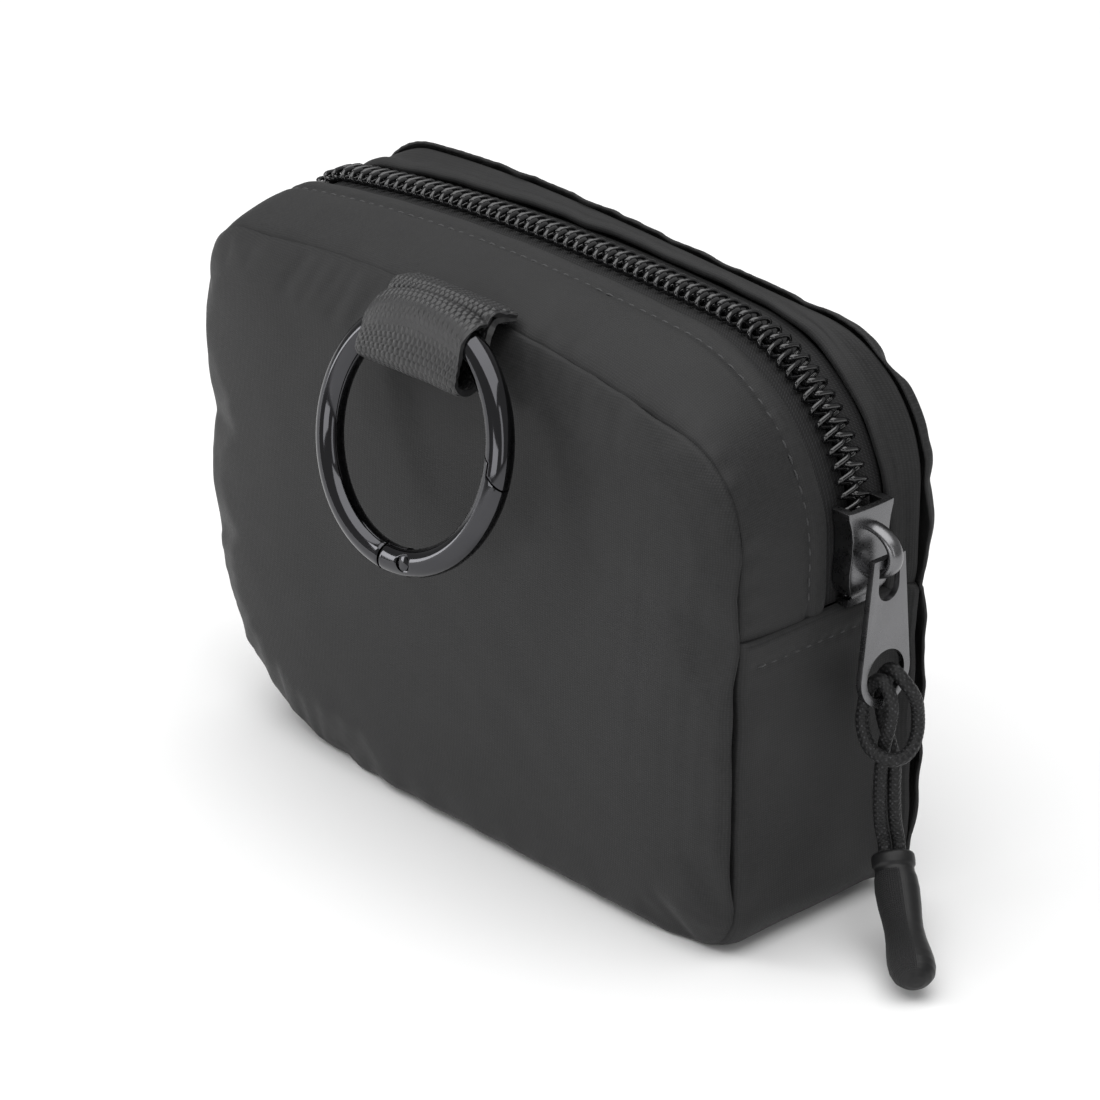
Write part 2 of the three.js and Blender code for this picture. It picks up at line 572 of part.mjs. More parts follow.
// ---------------------------------------------------------------- webbing loop
// Its section in the Y-Z plane: a sleeve round the path that the ring's wire takes across
// the webbing's width, with a tail that runs to the front seam.
function webbingLoop() {
  const lean = rad(RING_TILT);
  const reach = WEBBING_WIDTH / 2 + Math.abs(RING_X - WEBBING_X);
  const wireAt = (height) =>
    new THREE.Vector2(RING_Y + height * Math.sin(lean), RING_Z + height * Math.cos(lean));
  const low = wireAt(Math.sqrt((RING_R - WIRE_SLANT) ** 2 - reach ** 2));
  const high = wireAt(RING_R);
  const sleeve = (radius) => new THREE.Shape()
    .absarc(high.x, high.y, radius, -lean, Math.PI - lean)
    .absarc(low.x, low.y, radius, Math.PI - lean, 2 * Math.PI - lean);
  const inside = RING_WIRE + GAP;
  const outside = inside + WEBBING;
  const seam = new THREE.Vector2(-GUSSET - GAP - SHELL - 0.4, 101.2);
  const tail = new THREE.Shape()
    .moveTo(seam.x, seam.y)
    .lineTo(seam.x, seam.y + 1.6)
    .lineTo(high.x + 1, high.y + outside - 0.15)
    .lineTo(high.x + outside - 0.6, high.y);
  const across = (shape) => solid(
    slab(shape, WEBBING_WIDTH / 2, 14).rotateY(Math.PI / 2).rotateX(Math.PI / 2));
  return geometryOf(across(sleeve(outside)).add(across(tail)).subtract(
    solid(slab(sleeve(inside), WEBBING_WIDTH, 14).rotateY(Math.PI / 2).rotateX(Math.PI / 2))));
}
add("webbing_loop", webbingLoop(), WEBBING_WEAVE).position.x = WEBBING_X;

export default bag;
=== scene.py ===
import math

import bpy
import numpy as np
from mathutils import Matrix, Vector


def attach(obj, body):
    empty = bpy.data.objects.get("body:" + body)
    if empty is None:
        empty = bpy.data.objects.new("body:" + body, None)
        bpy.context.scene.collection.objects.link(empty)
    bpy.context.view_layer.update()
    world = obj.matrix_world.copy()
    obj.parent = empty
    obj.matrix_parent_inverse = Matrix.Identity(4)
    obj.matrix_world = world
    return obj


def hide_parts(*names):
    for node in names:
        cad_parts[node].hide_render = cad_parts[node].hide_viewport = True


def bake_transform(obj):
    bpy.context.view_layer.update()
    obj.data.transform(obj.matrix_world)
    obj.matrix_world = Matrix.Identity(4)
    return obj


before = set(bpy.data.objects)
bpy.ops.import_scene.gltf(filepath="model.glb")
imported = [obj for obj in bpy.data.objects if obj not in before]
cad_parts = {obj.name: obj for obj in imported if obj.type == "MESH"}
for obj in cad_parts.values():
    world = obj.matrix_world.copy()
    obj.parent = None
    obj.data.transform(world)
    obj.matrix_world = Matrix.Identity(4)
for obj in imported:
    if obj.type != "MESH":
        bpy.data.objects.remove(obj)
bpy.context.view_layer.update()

MM = 0.001

# ---------------------------------------------------------------- sizes, in millimetres
# The same frame and sizes as the CAD: X across, front at -Y, Z up.
CROSS_SEAM = 59.0
GUSSET = 19.2
GUSSET_FLAT = 15.0
PANEL_MIDDLE = 52.0
ZIP_Y = 7.3
ZIP_HALF_OPENING = 7.3
FOLD_BACK = 14.6
# Outlines in X-Z. Each side: half-width, top corner's radius, the height where that corner
# starts, the crown's slope where it meets it, and the bottom corner's radius.
FRONT_SEAM = dict(right=(66.8, 17.0, 76.0, 13.0, 9.0), left=(70.0, 10.0, 87.5, 7.0, 36.0), floor=0.5)
BACK_SEAM = dict(right=(71.5, 25.0, 77.5, 3.0, 10.0), left=(69.5, 18.0, 88.5, 4.0, 36.0), floor=1.0)
MIDDLE = dict(right=(67.5, 33.0, 69.5, 5.0, 8.0), left=(71.0, 11.0, 90.4, 8.0, 35.0), floor=0.0)
COIL_PITCH = 2.5
TAPE_TOP = 1.5

PLATE_IN = 69.1
PLATE_OUT = 70.3
SLIDER_Z = 69.5
SLIDER_WIDTH = 10.7
BRIDGE_Z = 70.0
BRIDGE_HALF = 4.2
BRIDGE_RISE = 5.7
BRIDGE_WIDTH = 3.0
BRIDGE_WIRE = 1.6

TAB_X = 74.2
TAB_PIVOT_Z = 69.1
TAB_THICK = 1.2
TAB_HOLE_Z = 48.4
TAB_HOLE = 4.5
TAB_END = 5.9
TAB_TOP_HALF = 3.7
TAB_SLOT_HALF = 2.5
TAB_SLOT_DEEP = 6.4

CORD = 2.4
CORD_ROUTE = [
    (76.56, 6.94, 15.45), (75.6, 7.6, 17), (75.1, 7.3, 19.5), (74.9, 7.0, 22.5), (74.9, 6.8, 27),
    (75.0, 6.9, 31.5), (75.4, 7.0, 35.5), (76.3, 7.1, 39.5), (76.6, 7.1, 42.8), (75.9, 7.0, 45.7),
    (74.2, 6.7, 47.3), (72.4, 6.1, 45.6), (72.0, 5.2, 42), (72.7, 4.4, 38.6), (74.9, 4.1, 35.6),
    (77.6, 5.3, 34.1), (78.9, 7.6, 34.1), (79.0, 10.0, 35.3), (78.3, 11.9, 37.6),
    (78.0, 12.2, 40.4), (78.0, 11.5, 43.4), (76.9, 9.9, 46.7), (74.3, 9.3, 48.5),
    (72.3, 9.3, 46.4), (72.0, 9.4, 42.3), (72.8, 9.3, 38.6), (74.5, 9.3, 35), (75.7, 9.3, 31.5),
    (76.0, 9.2, 27), (76.2, 9.3, 22.5), (76.4, 9.6, 19.5), (77.0, 9.7, 17), (78.04, 8.95, 15.45),
]
END_CURVE = ((77.5, 7.8, 15.2), (84.9, 2.4, 6.0), (96.9, -6.8, 4.1))
END_FLAT = 0.82

RING_R = 21.25
RING_WIRE = 2.5
RING_MIDDLE = (1.7, -33.0, 79.9)
RING_TILT = 14.6
GATE_TAIL = -91.0
GATE_PIVOT = -75.0
GATE_NOSE = 1.0
GATE_STEP = 1.6
WEBBING_WIDTH = 25.4
WEBBING_X = -0.5

# ---------------------------------------------------------------- camera, light and floor
def look_at(place, target):
    return (Vector(target) - Vector(place)).to_track_quat("-Z", "Y").to_euler()


def area_light(name, place, target, size, power, color=(1, 1, 1)):
    data = bpy.data.lights.new(name, "AREA")
    data.shape = "RECTANGLE"
    data.size, data.size_y = size
    data.energy = power
    data.color = color
    light = bpy.data.objects.new(name, data)
    bpy.context.scene.collection.objects.link(light)
    light.location = place
    light.rotation_euler = look_at(place, target)
    return light


CAMERA_TARGET = Vector((0.13, 0.0, 48.06)) * MM
CAMERA_AZIMUTH = math.radians(47.31)
CAMERA_ELEVATION = math.radians(24.87)
CAMERA_AWAY = 0.7126
back = Vector((
    math.sin(CAMERA_AZIMUTH) * math.cos(CAMERA_ELEVATION),
    -math.cos(CAMERA_AZIMUTH) * math.cos(CAMERA_ELEVATION),
    math.sin(CAMERA_ELEVATION),
))
camera_data = bpy.data.cameras.new("camera")
camera_data.lens = 130.91
camera_data.sensor_width = 36
camera_data.clip_start = 0.01
camera_data.clip_end = 20
camera = bpy.data.objects.new("camera", camera_data)
bpy.context.scene.collection.objects.link(camera)
camera.location = CAMERA_TARGET + CAMERA_AWAY * back
camera.rotation_euler = look_at(camera.location, CAMERA_TARGET)
bpy.context.scene.camera = camera
bpy.context.scene.view_settings.view_transform = "Standard"

world = bpy.data.worlds.new("studio")
world.use_nodes = True
world.node_tree.nodes["Background"].inputs["Color"].default_value = (1, 1, 1, 1)
world.node_tree.nodes["Background"].inputs["Strength"].default_value = 0.32
bpy.context.scene.world = world

area_light("overhead", (0, -0.1, 1.5), (0, 0, 0), (2.2, 2.2), 36)
area_light("left_strip", (-0.9, -0.75, 0.45), (0, 0, 0.06), (0.25, 0.9), 4)
area_light("front_low", (0.3, -1.2, 0.25), (0, 0, 0.05), (0.9, 0.3), 2.5)
area_light("right_strip", (1.1, -0.45, 0.55), (0, 0, 0.06), (0.3, 0.9), 1.6)

# ---------------------------------------------------------------- modelling helpers
def only(piece):
    """Selects one object and makes it active."""
    if bpy.context.object and bpy.context.object.mode != "OBJECT":
        bpy.ops.object.mode_set(mode="OBJECT")
    bpy.ops.object.select_all(action="DESELECT")
    piece.select_set(True)
    bpy.context.view_layer.objects.active = piece
    return piece


def named(name):
    piece = bpy.context.object
    piece.name = name
    piece.data.name = name
    return piece


def settled(piece):
    """Moves the object's place into its mesh."""
    only(piece)
    bpy.ops.object.transform_apply(location=True, rotation=True, scale=True)
    return piece


def modified(piece, kind, **settings):
    """Adds a modifier and applies it."""
    only(piece)
    modifier = piece.modifiers.new(kind.lower(), kind)
    for key, value in settings.items():
        setattr(modifier, key, value)
    bpy.ops.object.modifier_apply(modifier=modifier.name)
    return piece


def edited(piece, *steps):
    """Runs edit-mode operators on the whole mesh."""
    only(piece)
    bpy.ops.object.mode_set(mode="EDIT")
    bpy.ops.mesh.select_all(action="SELECT")
    for step in steps:
        step()
    bpy.ops.object.mode_set(mode="OBJECT")
    return piece


def merge(distance):
    return lambda: bpy.ops.mesh.remove_doubles(threshold=distance)


def outwards():
    bpy.ops.mesh.normals_make_consistent(inside=False)


def close_ends():
    bpy.ops.mesh.select_all(action="DESELECT")
    bpy.ops.mesh.select_non_manifold()
    bpy.ops.mesh.fill_holes(sides=0)


def points_of(piece):
    co = np.empty(len(piece.data.vertices) * 3)
    piece.data.vertices.foreach_get("co", co)
    return co.reshape(-1, 3) / MM


def place_points(piece, points):
    piece.data.vertices.foreach_set("co", (np.asarray(points) * MM).ravel())
    piece.data.update()
    return piece


def smooth(piece, angle=None):
    only(piece)
    if angle is None:
        bpy.ops.object.shade_smooth()
    else:
        bpy.ops.object.shade_smooth_by_angle(angle=math.radians(angle))
    return piece


def subdivided(piece, levels=1):
    return modified(piece, "SUBSURF", levels=levels, render_levels=levels)


def bevelled(piece, width, segments=3, angle=35):
    return modified(piece, "BEVEL", width=width * MM, segments=segments,
                    limit_method="ANGLE", angle_limit=math.radians(angle), harden_normals=False)


def cut_by(piece, cutter, operation="DIFFERENCE"):
    modified(piece, "BOOLEAN", object=cutter, operation=operation, solver="EXACT")
    bpy.data.objects.remove(cutter)
    return piece


def sheet_of(name, across, along, place, flat, wrap=False):
    """A grid whose unit square is sent to place(a, b), in millimetres; flat is its cut size,
    which its weave map has at full scale, 1 unit to 10 mm."""
    bpy.ops.mesh.primitive_grid_add(x_subdivisions=across, y_subdivisions=along, size=1)
    piece = named(name)
    grid = points_of(piece) * MM + 0.5
    a, b = np.clip(grid[:, 0], 0, 1), np.clip(grid[:, 1], 0, 1)
    place_points(piece, place(a, b))
    weave = piece.data.uv_layers[0]
    weave.name = "weave"
    uv = np.empty(len(piece.data.loops) * 2)
    weave.data.foreach_get("uv", uv)
    uv = uv.reshape(-1, 2) * (np.array(flat) / 10)
    weave.data.foreach_set("uv", uv.ravel())
    if wrap:
        edited(piece, merge(2e-6))
    return piece


def copies_of(template, name, matrices):
    """One object made of copies of a template, each with its own mesh."""
    made = []
    for matrix in matrices:
        mesh = template.data.copy()
        mesh.transform(matrix)
        copy = bpy.data.objects.new(name, mesh)
        bpy.context.scene.collection.objects.link(copy)
        made.append(copy)
    bpy.data.objects.remove(template)
    only(made[0])
    for copy in made:
        copy.select_set(True)
    bpy.ops.object.join()
    return named(name)


def joined(first, *others):
    only(first)
    for piece in others:
        piece.select_set(True)
    bpy.ops.object.join()
    return first


def standing(origin, across, along, up):
    """A matrix that puts local X, Y and Z along three directions at a point in millimetres."""
    matrix = Matrix.Identity(4)
    for i, axis in enumerate((across, along, up)):
        for j in range(3):
            matrix[j][i] = axis[j]
    for j in range(3):
        matrix[j][3] = origin[j] * MM
    return matrix


# ---------------------------------------------------------------- outlines of the bag
def arc(middle, radius, first, last, steps=40):
    turn = np.linspace(first, last, steps)
    return np.c_[middle[0] + radius * np.cos(turn), middle[1] + radius * np.sin(turn)]


def upper_line(line):
    """From the right cross seam, up and over to the left one."""
    tops = []
    for sign, (half, corner, shoulder, slope, _) in ((1, line["right"]), (-1, line["left"])):
        lean = math.radians(90 - slope)
        middle = half - corner
        end = np.array((sign * (middle + corner * math.cos(lean)), shoulder + corner * math.sin(lean)))
        tops.append((lean, sign * middle, corner, shoulder, end,
                     np.array((-sign * math.sin(lean), math.cos(lean)))))
    near, far = tops
    pull = np.linalg.norm(far[4] - near[4]) / 3
    t = np.linspace(0, 1, 90)[:, None]
    crown = (near[4] * (1 - t) ** 3 + 3 * (near[4] + pull * near[5]) * t * (1 - t) ** 2
             + 3 * (far[4] + pull * far[5]) * t ** 2 * (1 - t) + far[4] * t ** 3)
    return np.vstack([
        [(line["right"][0], CROSS_SEAM)],
        arc((near[1], near[3]), near[2], 0, near[0]),
        crown[1:-1],
        arc((far[1], far[3]), far[2], math.pi - far[0], math.pi),
        [(-line["left"][0], CROSS_SEAM)],
    ])


def lower_line(line):
    """From the left cross seam, down and under to the right one."""
    (right, *_, heel), (left, *_, foot), floor = line["right"], line["left"], line["floor"]
    return np.vstack([
        [(-left, CROSS_SEAM)],
        arc((foot - left, floor + foot), foot, math.pi, 1.5 * math.pi),
        arc((right - heel, floor + heel), heel, 1.5 * math.pi, 2 * math.pi),
        [(right, CROSS_SEAM)],
    ])


def run_of(points):
    """Distance along a line at each of its points."""
    return np.r_[0, np.cumsum(np.linalg.norm(np.diff(points, axis=0), axis=1))]


def at_share(points, share):
    run = run_of(points)
    return np.stack([np.interp(share * run[-1], run, points[:, i]) for i in range(points.shape[1])], -1)


def zip_share(y):
    past = np.maximum(np.abs(y - ZIP_Y) - ZIP_HALF_OPENING, 0)
    room = np.where(y < ZIP_Y, GUSSET, GUSSET - FOLD_BACK)
    return 1 - (past / room) ** 2


def gusset_share(y):
    past = np.maximum(np.abs(y) - GUSSET_FLAT, 0)
    return 1 - (past / (GUSSET - GUSSET_FLAT)) ** 2


def wall_point(line_of, share_of, u, y, height):
    """A point of the gusset: u is its share of the line, y its depth, height its stand-off."""
    y_in = np.clip(y, -GUSSET, GUSSET)
    follow = share_of(y_in)[:, None]

    def base(u_at):
        front, rear = at_share(line_of(FRONT_SEAM), u_at), at_share(line_of(BACK_SEAM), u_at)
        seam = np.where((y_in < ZIP_Y)[:, None], front, rear)
        return seam * (1 - follow) + at_share(line_of(MIDDLE), u_at) * follow

    step = 0.002
    here = base(u)
    run = base(np.clip(u + step, 0, 1)) - base(np.clip(u - step, 0, 1))
    run /= np.linalg.norm(run, axis=1)[:, None]
    out = np.c_[run[:, 1], -run[:, 0]]
    at = here + out * height[:, None]
    return np.c_[at[:, 0], y, at[:, 1]]


def bell(x, width):
    return np.exp(-((x / width) ** 2))


def ripples(along, longest, shortest, count, seed):
    """A smooth wander along a line, about -1 to 1."""
    rng = np.random.default_rng(seed)
    total = np.zeros_like(along)
    for _ in range(count):
        total += np.sin(2 * np.pi * (along / rng.uniform(shortest, longest) + rng.uniform()))
    return total / math.sqrt(count)


def rumple(x, z, size, count, seed):
    """A smooth wander over a surface, about -1 to 1, with waves round that size."""
    rng = np.random.default_rng(seed)
    total = np.zeros_like(x)
    for _ in range(count):
        turn, wave = rng.uniform(0, 2 * np.pi), size * rng.uniform(0.6, 1.6)
        total += np.sin(2 * np.pi * ((x * np.cos(turn) + z * np.sin(turn)) / wave + rng.uniform()))
    return total / math.sqrt(count)


# ---------------------------------------------------------------- materials
class Finish:
    """A node material, with short ways to add and link its nodes."""

    def __init__(self, name, color, roughness, metallic=0.0, **sockets):
        self.material = bpy.data.materials.new(name)
        self.material.use_nodes = True
        self.tree = self.material.node_tree
        self.shader = self.tree.nodes["Principled BSDF"]
        self.set(self.shader, "Base Color", (*color, 1))
        self.set(self.shader, "Roughness", roughness)
        self.set(self.shader, "Metallic", metallic)
        for key, value in sockets.items():
            self.set(self.shader, key.replace("_", " ").title().replace("Ior", "IOR"), value)
        self.color = color

    def set(self, node, socket, value):
        if isinstance(value, bpy.types.NodeSocket):
            self.tree.links.new(value, node.inputs[socket])
        else:
            node.inputs[socket].default_value = value

    def node(self, kind, settings=None, out=0, **inputs):
        made = self.tree.nodes.new(kind)
        for key, value in (settings or {}).items():
            setattr(made, key, value)
        for key, value in inputs.items():
            self.set(made, int(key[1:]) if key[1:].isdigit() else key.replace("_", " "), value)
        return made.outputs[out]

    def math(self, operation, *values):
        made = self.tree.nodes.new("ShaderNodeMath")
        made.operation = operation
        for i, value in enumerate(values):
            self.set(made, i, value)
        return made.outputs[0]

    def place(self, uv=False):
        """Object or weave-map coordinates, as separate X, Y and Z."""
        coordinates = self.tree.nodes.new("ShaderNodeTexCoord")
        split = self.tree.nodes.new("ShaderNodeSeparateXYZ")
        source = coordinates.outputs["UV" if uv else "Object"]
        self.tree.links.new(source, split.inputs[0])
        return source, split.outputs

    def noise(self, vector, scale, detail=2.0, rough=0.5):
        return self.node(
            "ShaderNodeTexNoise", Vector=vector, Scale=scale, Detail=detail, Roughness=rough)

    def wave(self, coordinate, per_unit, shift=0.0):
        """0 to 1, once per period."""
        turned = self.math("MULTIPLY_ADD", coordinate, 2 * math.pi * per_unit, shift)
        return self.math("MULTIPLY_ADD", self.math("SINE", turned), 0.5, 0.5)

    def bump(self, height, strength, distance):
        made = self.tree.nodes.new("ShaderNodeBump")
        made.inputs["Strength"].default_value = strength
        made.inputs["Distance"].default_value = distance
        self.tree.links.new(height, made.inputs["Height"])
        previous = self.shader.inputs["Normal"]
        if previous.links:
            self.tree.links.new(previous.links[0].from_socket, made.inputs["Normal"])
        self.tree.links.new(made.outputs[0], previous)

    def tint(self, share, dark, light, socket="Base Color"):
        """The base colour between two multiples of the finish's own colour."""
        ramp = self.tree.nodes.new("ShaderNodeMix")
        ramp.data_type = "RGBA"
        self.set(ramp, 0, share)
        ramp.inputs[6].default_value = (*(c * dark for c in self.color), 1)
        ramp.inputs[7].default_value = (*(c * light for c in self.color), 1)
        self.tree.links.new(ramp.outputs[2], self.shader.inputs[socket])

    def range(self, share, low, high, socket="Roughness"):
        self.set(self.shader, socket, self.math("MULTIPLY_ADD", share, high - low, low))


def woven_nylon(name, color, uv):
    """Fine plain weave, with slubs and a soft sheen. uv weaves it by the piece's own map."""
    cloth = Finish(name, color, 0.62, sheen_weight=0.035, sheen_roughness=0.5, specular_ior_level=0.24)
    source, axis = cloth.place(uv)
    scale = 10 / 0.42 if uv else 1000 / 0.42
    across, along = (axis[0], axis[1]) if uv else (axis[0], axis[2])
    over = cloth.wave(across, scale)
    under = cloth.wave(along, scale)
    weave = cloth.math("MULTIPLY", over, under)
    slub = cloth.noise(source, 1.5 if uv else 150, 4, 0.65)
    mottle = cloth.noise(source, 12 if uv else 1200, 3, 0.7)
    mixed = cloth.math("ADD", cloth.math("MULTIPLY", weave, 0.45), cloth.math("MULTIPLY", mottle, 0.75))
    cloth.tint(cloth.math("MULTIPLY_ADD", mixed, 0.8, cloth.math("MULTIPLY", slub, 0.25)), 0.2, 2.1)
    cloth.range(mottle, 0.45, 0.75)
    cloth.bump(weave, 0.5, 0.00005)
    cloth.bump(mottle, 0.6, 0.00008)
    return cloth.material


SHELL_COLOR = (0.0135, 0.0135, 0.0138)
shell_by_map = woven_nylon("woven_nylon_by_map", SHELL_COLOR, True)
shell_flat = woven_nylon("woven_nylon", SHELL_COLOR, False)


def ribbed_tape(name, color, rib, cross, rough=0.8):
    """Narrow woven tape: ribs along it with a twill across, by the piece's own map."""
    tape = Finish(name, color, rough, sheen_weight=0.04, sheen_roughness=0.4, specular_ior_level=0.3)
    source, axis = tape.place(True)
    ribs = tape.wave(axis[1], 10 / rib)
    slant = tape.math("MULTIPLY_ADD", axis[1], 0.8, axis[0])
    twill = tape.wave(slant, 10 / cross)
    fibre = tape.noise(source, 40, 3, 0.6)
    height = tape.math("MULTIPLY_ADD", ribs, twill, tape.math("MULTIPLY", fibre, 0.4))
    tape.tint(height, 0.45, 1.9)
    tape.bump(height, 0.8, 0.00012)
    return tape.material


tape_weave = ribbed_tape("zip_tape_weave", (0.012, 0.012, 0.0125), 0.75, 0.6)
binding_weave = ribbed_tape("binding_weave", (0.02, 0.02, 0.022), 1.4, 0.8)


def thread_finish():
    thread = Finish("sewing_thread", (0.012, 0.012, 0.013), 0.6, sheen_weight=0.2)
    source = thread.place()[0]
    twist = thread.noise(source, 6000, 2)
    thread.tint(twist, 0.6, 2.2)
    thread.bump(twist, 0.4, 0.00003)
    return thread.material


def coil_finish():
    coil = Finish("coil_nylon", (0.006, 0.006, 0.0065), 0.14, specular_ior_level=0.75)
    source = coil.place()[0]
    drawn = coil.noise(source, 900, 3)
    coil.range(drawn, 0.08, 0.22)
    coil.tint(drawn, 0.7, 1.5)
    coil.bump(drawn, 0.15, 0.00003)
    return coil.material


def plated_metal(name, color, low, high, grain=500):
    """Dark plating with faint polishing marks and a trace of wear."""
    metal = Finish(name, color, low, 1.0)
    source = metal.place()[0]
    cloud = metal.noise(source, grain * 0.3, 3)
    grit = metal.noise(source, grain * 6, 2)
    metal.range(metal.math("MULTIPLY", cloud, grit), low, low + (high - low) * 3)
    metal.tint(cloud, 0.82, 1.15)
    metal.bump(grit, 0.06, 0.00002)
    return metal.material


gunmetal = plated_metal("gunmetal_plating", (0.17, 0.17, 0.175), 0.2, 0.33)
black_nickel = plated_metal("black_nickel_plating", (0.06, 0.06, 0.064), 0.05, 0.1, 300)
spring_steel = plated_metal("spring_wire", (0.5, 0.5, 0.52), 0.25, 0.4)
coil_nylon = coil_finish()
sewing_thread = thread_finish()


def foam_finish():
    foam = Finish("open_cell_foam", (0.12, 0.12, 0.12), 0.95)
    source = foam.place()[0]
    cells = foam.node(
        "ShaderNodeTexVoronoi", {"feature": "DISTANCE_TO_EDGE"}, Vector=source, Scale=1400.0)
    foam.tint(cells, 1.4, 0.5)
    foam.bump(cells, 0.8, 0.0003)
    return foam.material


def lining_finish():
    lining = Finish("lining_cloth", (0.03, 0.03, 0.033), 0.65, sheen_weight=0.2)
    axis = lining.place()[1]
    weave = lining.math("MULTIPLY", lining.wave(axis[0], 1600), lining.wave(axis[2], 1600))
    lining.tint(weave, 0.7, 1.3)
    lining.bump(weave, 0.4, 0.00006)
    return lining.material


def webbing_finish():
    web = Finish(
        "nylon_webbing", (0.014, 0.014, 0.0145), 0.36,
        sheen_weight=0.03, sheen_roughness=0.35, specular_ior_level=0.5)
    source, axis = web.place(True)
    strands = web.wave(axis[0], 10 / 0.2)
    fuzz = web.noise(source, 25, 4, 0.65)
    web.tint(web.math("MULTIPLY_ADD", strands, 0.5, web.math("MULTIPLY", fuzz, 0.6)), 0.2, 2.6)
    web.bump(strands, 0.5, 0.00006)
    web.bump(fuzz, 0.3, 0.00008)
    return web.material


def braid_finish():
    braid = Finish(
        "cord_braid", (0.008, 0.008, 0.0085), 0.55,
        sheen_weight=0.03, sheen_roughness=0.4, specular_ior_level=0.3)
    source, axis = braid.place(True)
    left = braid.wave(braid.math("ADD", axis[0], axis[1]), 10 / 1.05)
    right = braid.wave(braid.math("SUBTRACT", axis[0], axis[1]), 10 / 1.05)
    crossing = braid.math("MULTIPLY", left, right)
    fleck = braid.noise(source, 14, 3, 0.6)
    light = braid.math("MULTIPLY", braid.math("GREATER_THAN", fleck, 0.56), crossing)
    braid.tint(braid.math("MULTIPLY_ADD", light, 0.9, braid.math("MULTIPLY", crossing, 0.25)), 0.6, 6.0)
    braid.bump(crossing, 0.8, 0.00015)
    return braid.material


def rubber_finish():
    rubber = Finish("soft_moulded_rubber", (0.011, 0.011, 0.0115), 0.5, specular_ior_level=0.3)
    source, axis = rubber.place(True)
    dots = rubber.math("MULTIPLY", rubber.wave(axis[0], 10 / 0.42), rubber.wave(axis[1], 10 / 0.42))
    grip = rubber.node("ShaderNodeAttribute", {"attribute_name": "grip"}, out=2)
    height = rubber.math("MULTIPLY", dots, grip)
    grain = rubber.noise(source, 30, 3)
    rubber.tint(rubber.math("MULTIPLY_ADD", height, 0.9, rubber.math("MULTIPLY", grain, 0.3)), 0.65, 1.9)
    rubber.range(grip, 0.42, 0.62)
    rubber.bump(height, 0.9, 0.0002)
    rubber.bump(grain, 0.1, 0.00005)
    return rubber.material


foam_cells = foam_finish()
lining_cloth = lining_finish()
webbing_weave = webbing_finish()
cord_braid = braid_finish()
soft_rubber = rubber_finish()


def dressed(piece, material, body, slot, *nodes):
    """Gives a finished piece its material and body, and hides the CAD nodes that it stands for; slot is
    not used.
    """
    piece.data.materials.clear()
    piece.data.materials.append(material)
    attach(piece, body)
    if nodes:
        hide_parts(*nodes)
    return piece


# ---------------------------------------------------------------- floor
bpy.ops.mesh.primitive_plane_add(size=6, location=(0, 0, -0.0002))
floor = named("studio_floor")
settled(floor)
paper = Finish("white_paper", (0.86, 0.86, 0.86), 0.9)
paper.tint(paper.noise(paper.place()[0], 30, 3), 0.99, 1.01)
floor.data.materials.append(paper.material)

# ---------------------------------------------------------------- cord and its moulded end
def smooth_route(points, per_span=14):
    """A Catmull-Rom line through the points."""
    p = np.array(points, float)
    p = np.vstack([2 * p[0] - p[1], p, 2 * p[-1] - p[-2]])
    found = []
    for i in range(1, len(p) - 2):
        a, b, c, d = p[i - 1:i + 3]
        ab, bc, cd = (np.linalg.norm(v) ** 0.5 for v in (b - a, c - b, d - c))
        leave = bc * ((b - a) / ab - (c - a) / (ab + bc) + (c - b) / bc)
        arrive = bc * ((c - b) / bc - (d - b) / (bc + cd) + (d - c) / cd)
        t = np.linspace(0, 1, per_span, endpoint=False)[:, None]
        found.append(b + leave * t + (3 * (c - b) - 2 * leave - arrive) * t ** 2
                     + (2 * (b - c) + leave + arrive) * t ** 3)
    return np.vstack([*found, p[-2]])


def frames_along(line):
    """Two directions across a line that don't twist along it."""
    run = np.gradient(line, axis=0)
    run /= np.linalg.norm(run, axis=1)[:, None]
    side = np.cross(run[0], (0.3, 0.9, 0.2))
    side /= np.linalg.norm(side)
    sides = [side]
    for direction in run[1:]:
        side = side - direction * (side @ direction)
        side /= np.linalg.norm(side)
        sides.append(side)
    sides = np.array(sides)
    return sides, np.cross(run, sides)


cord_line = smooth_route(CORD_ROUTE)
cord_side, cord_up = frames_along(cord_line)
cord_length = run_of(cord_line)[-1]


def cord_skin(a, b):
    """a goes round the cord and b along it; the braid's bundles stand out of it."""
    along = b * cord_length
    turn = 2 * np.pi * a
    reach = np.interp(along, run_of(cord_line), np.arange(len(cord_line)))
    low = np.clip(reach.astype(int), 0, len(cord_line) - 2)
    rest = (reach - low)[:, None]
    centre = cord_line[low] * (1 - rest) + cord_line[low + 1] * rest
    side = cord_side[low] * (1 - rest) + cord_side[low + 1] * rest
    up = cord_up[low] * (1 - rest) + cord_up[low + 1] * rest
    wide = math.pi * CORD
    braid = (np.sin(2 * np.pi * (a * wide + along) / (wide / 5))
             * np.sin(2 * np.pi * (a * wide - along) / (wide / 5)))
    radius = (CORD / 2 - 0.03 + 0.05 * braid)[:, None]
    return centre + radius * (np.cos(turn)[:, None] * side + np.sin(turn)[:, None] * up)


pull_cord = sheet_of("pull_cord_braid", 24, 420, cord_skin, (math.pi * CORD, cord_length), wrap=True)
edited(pull_cord, close_ends, lambda: bpy.ops.mesh.select_all(action="SELECT"), outwards)
smooth(pull_cord, 50)
pull_cord.data.materials.append(cord_braid)
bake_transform(pull_cord)
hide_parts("pull_cord")

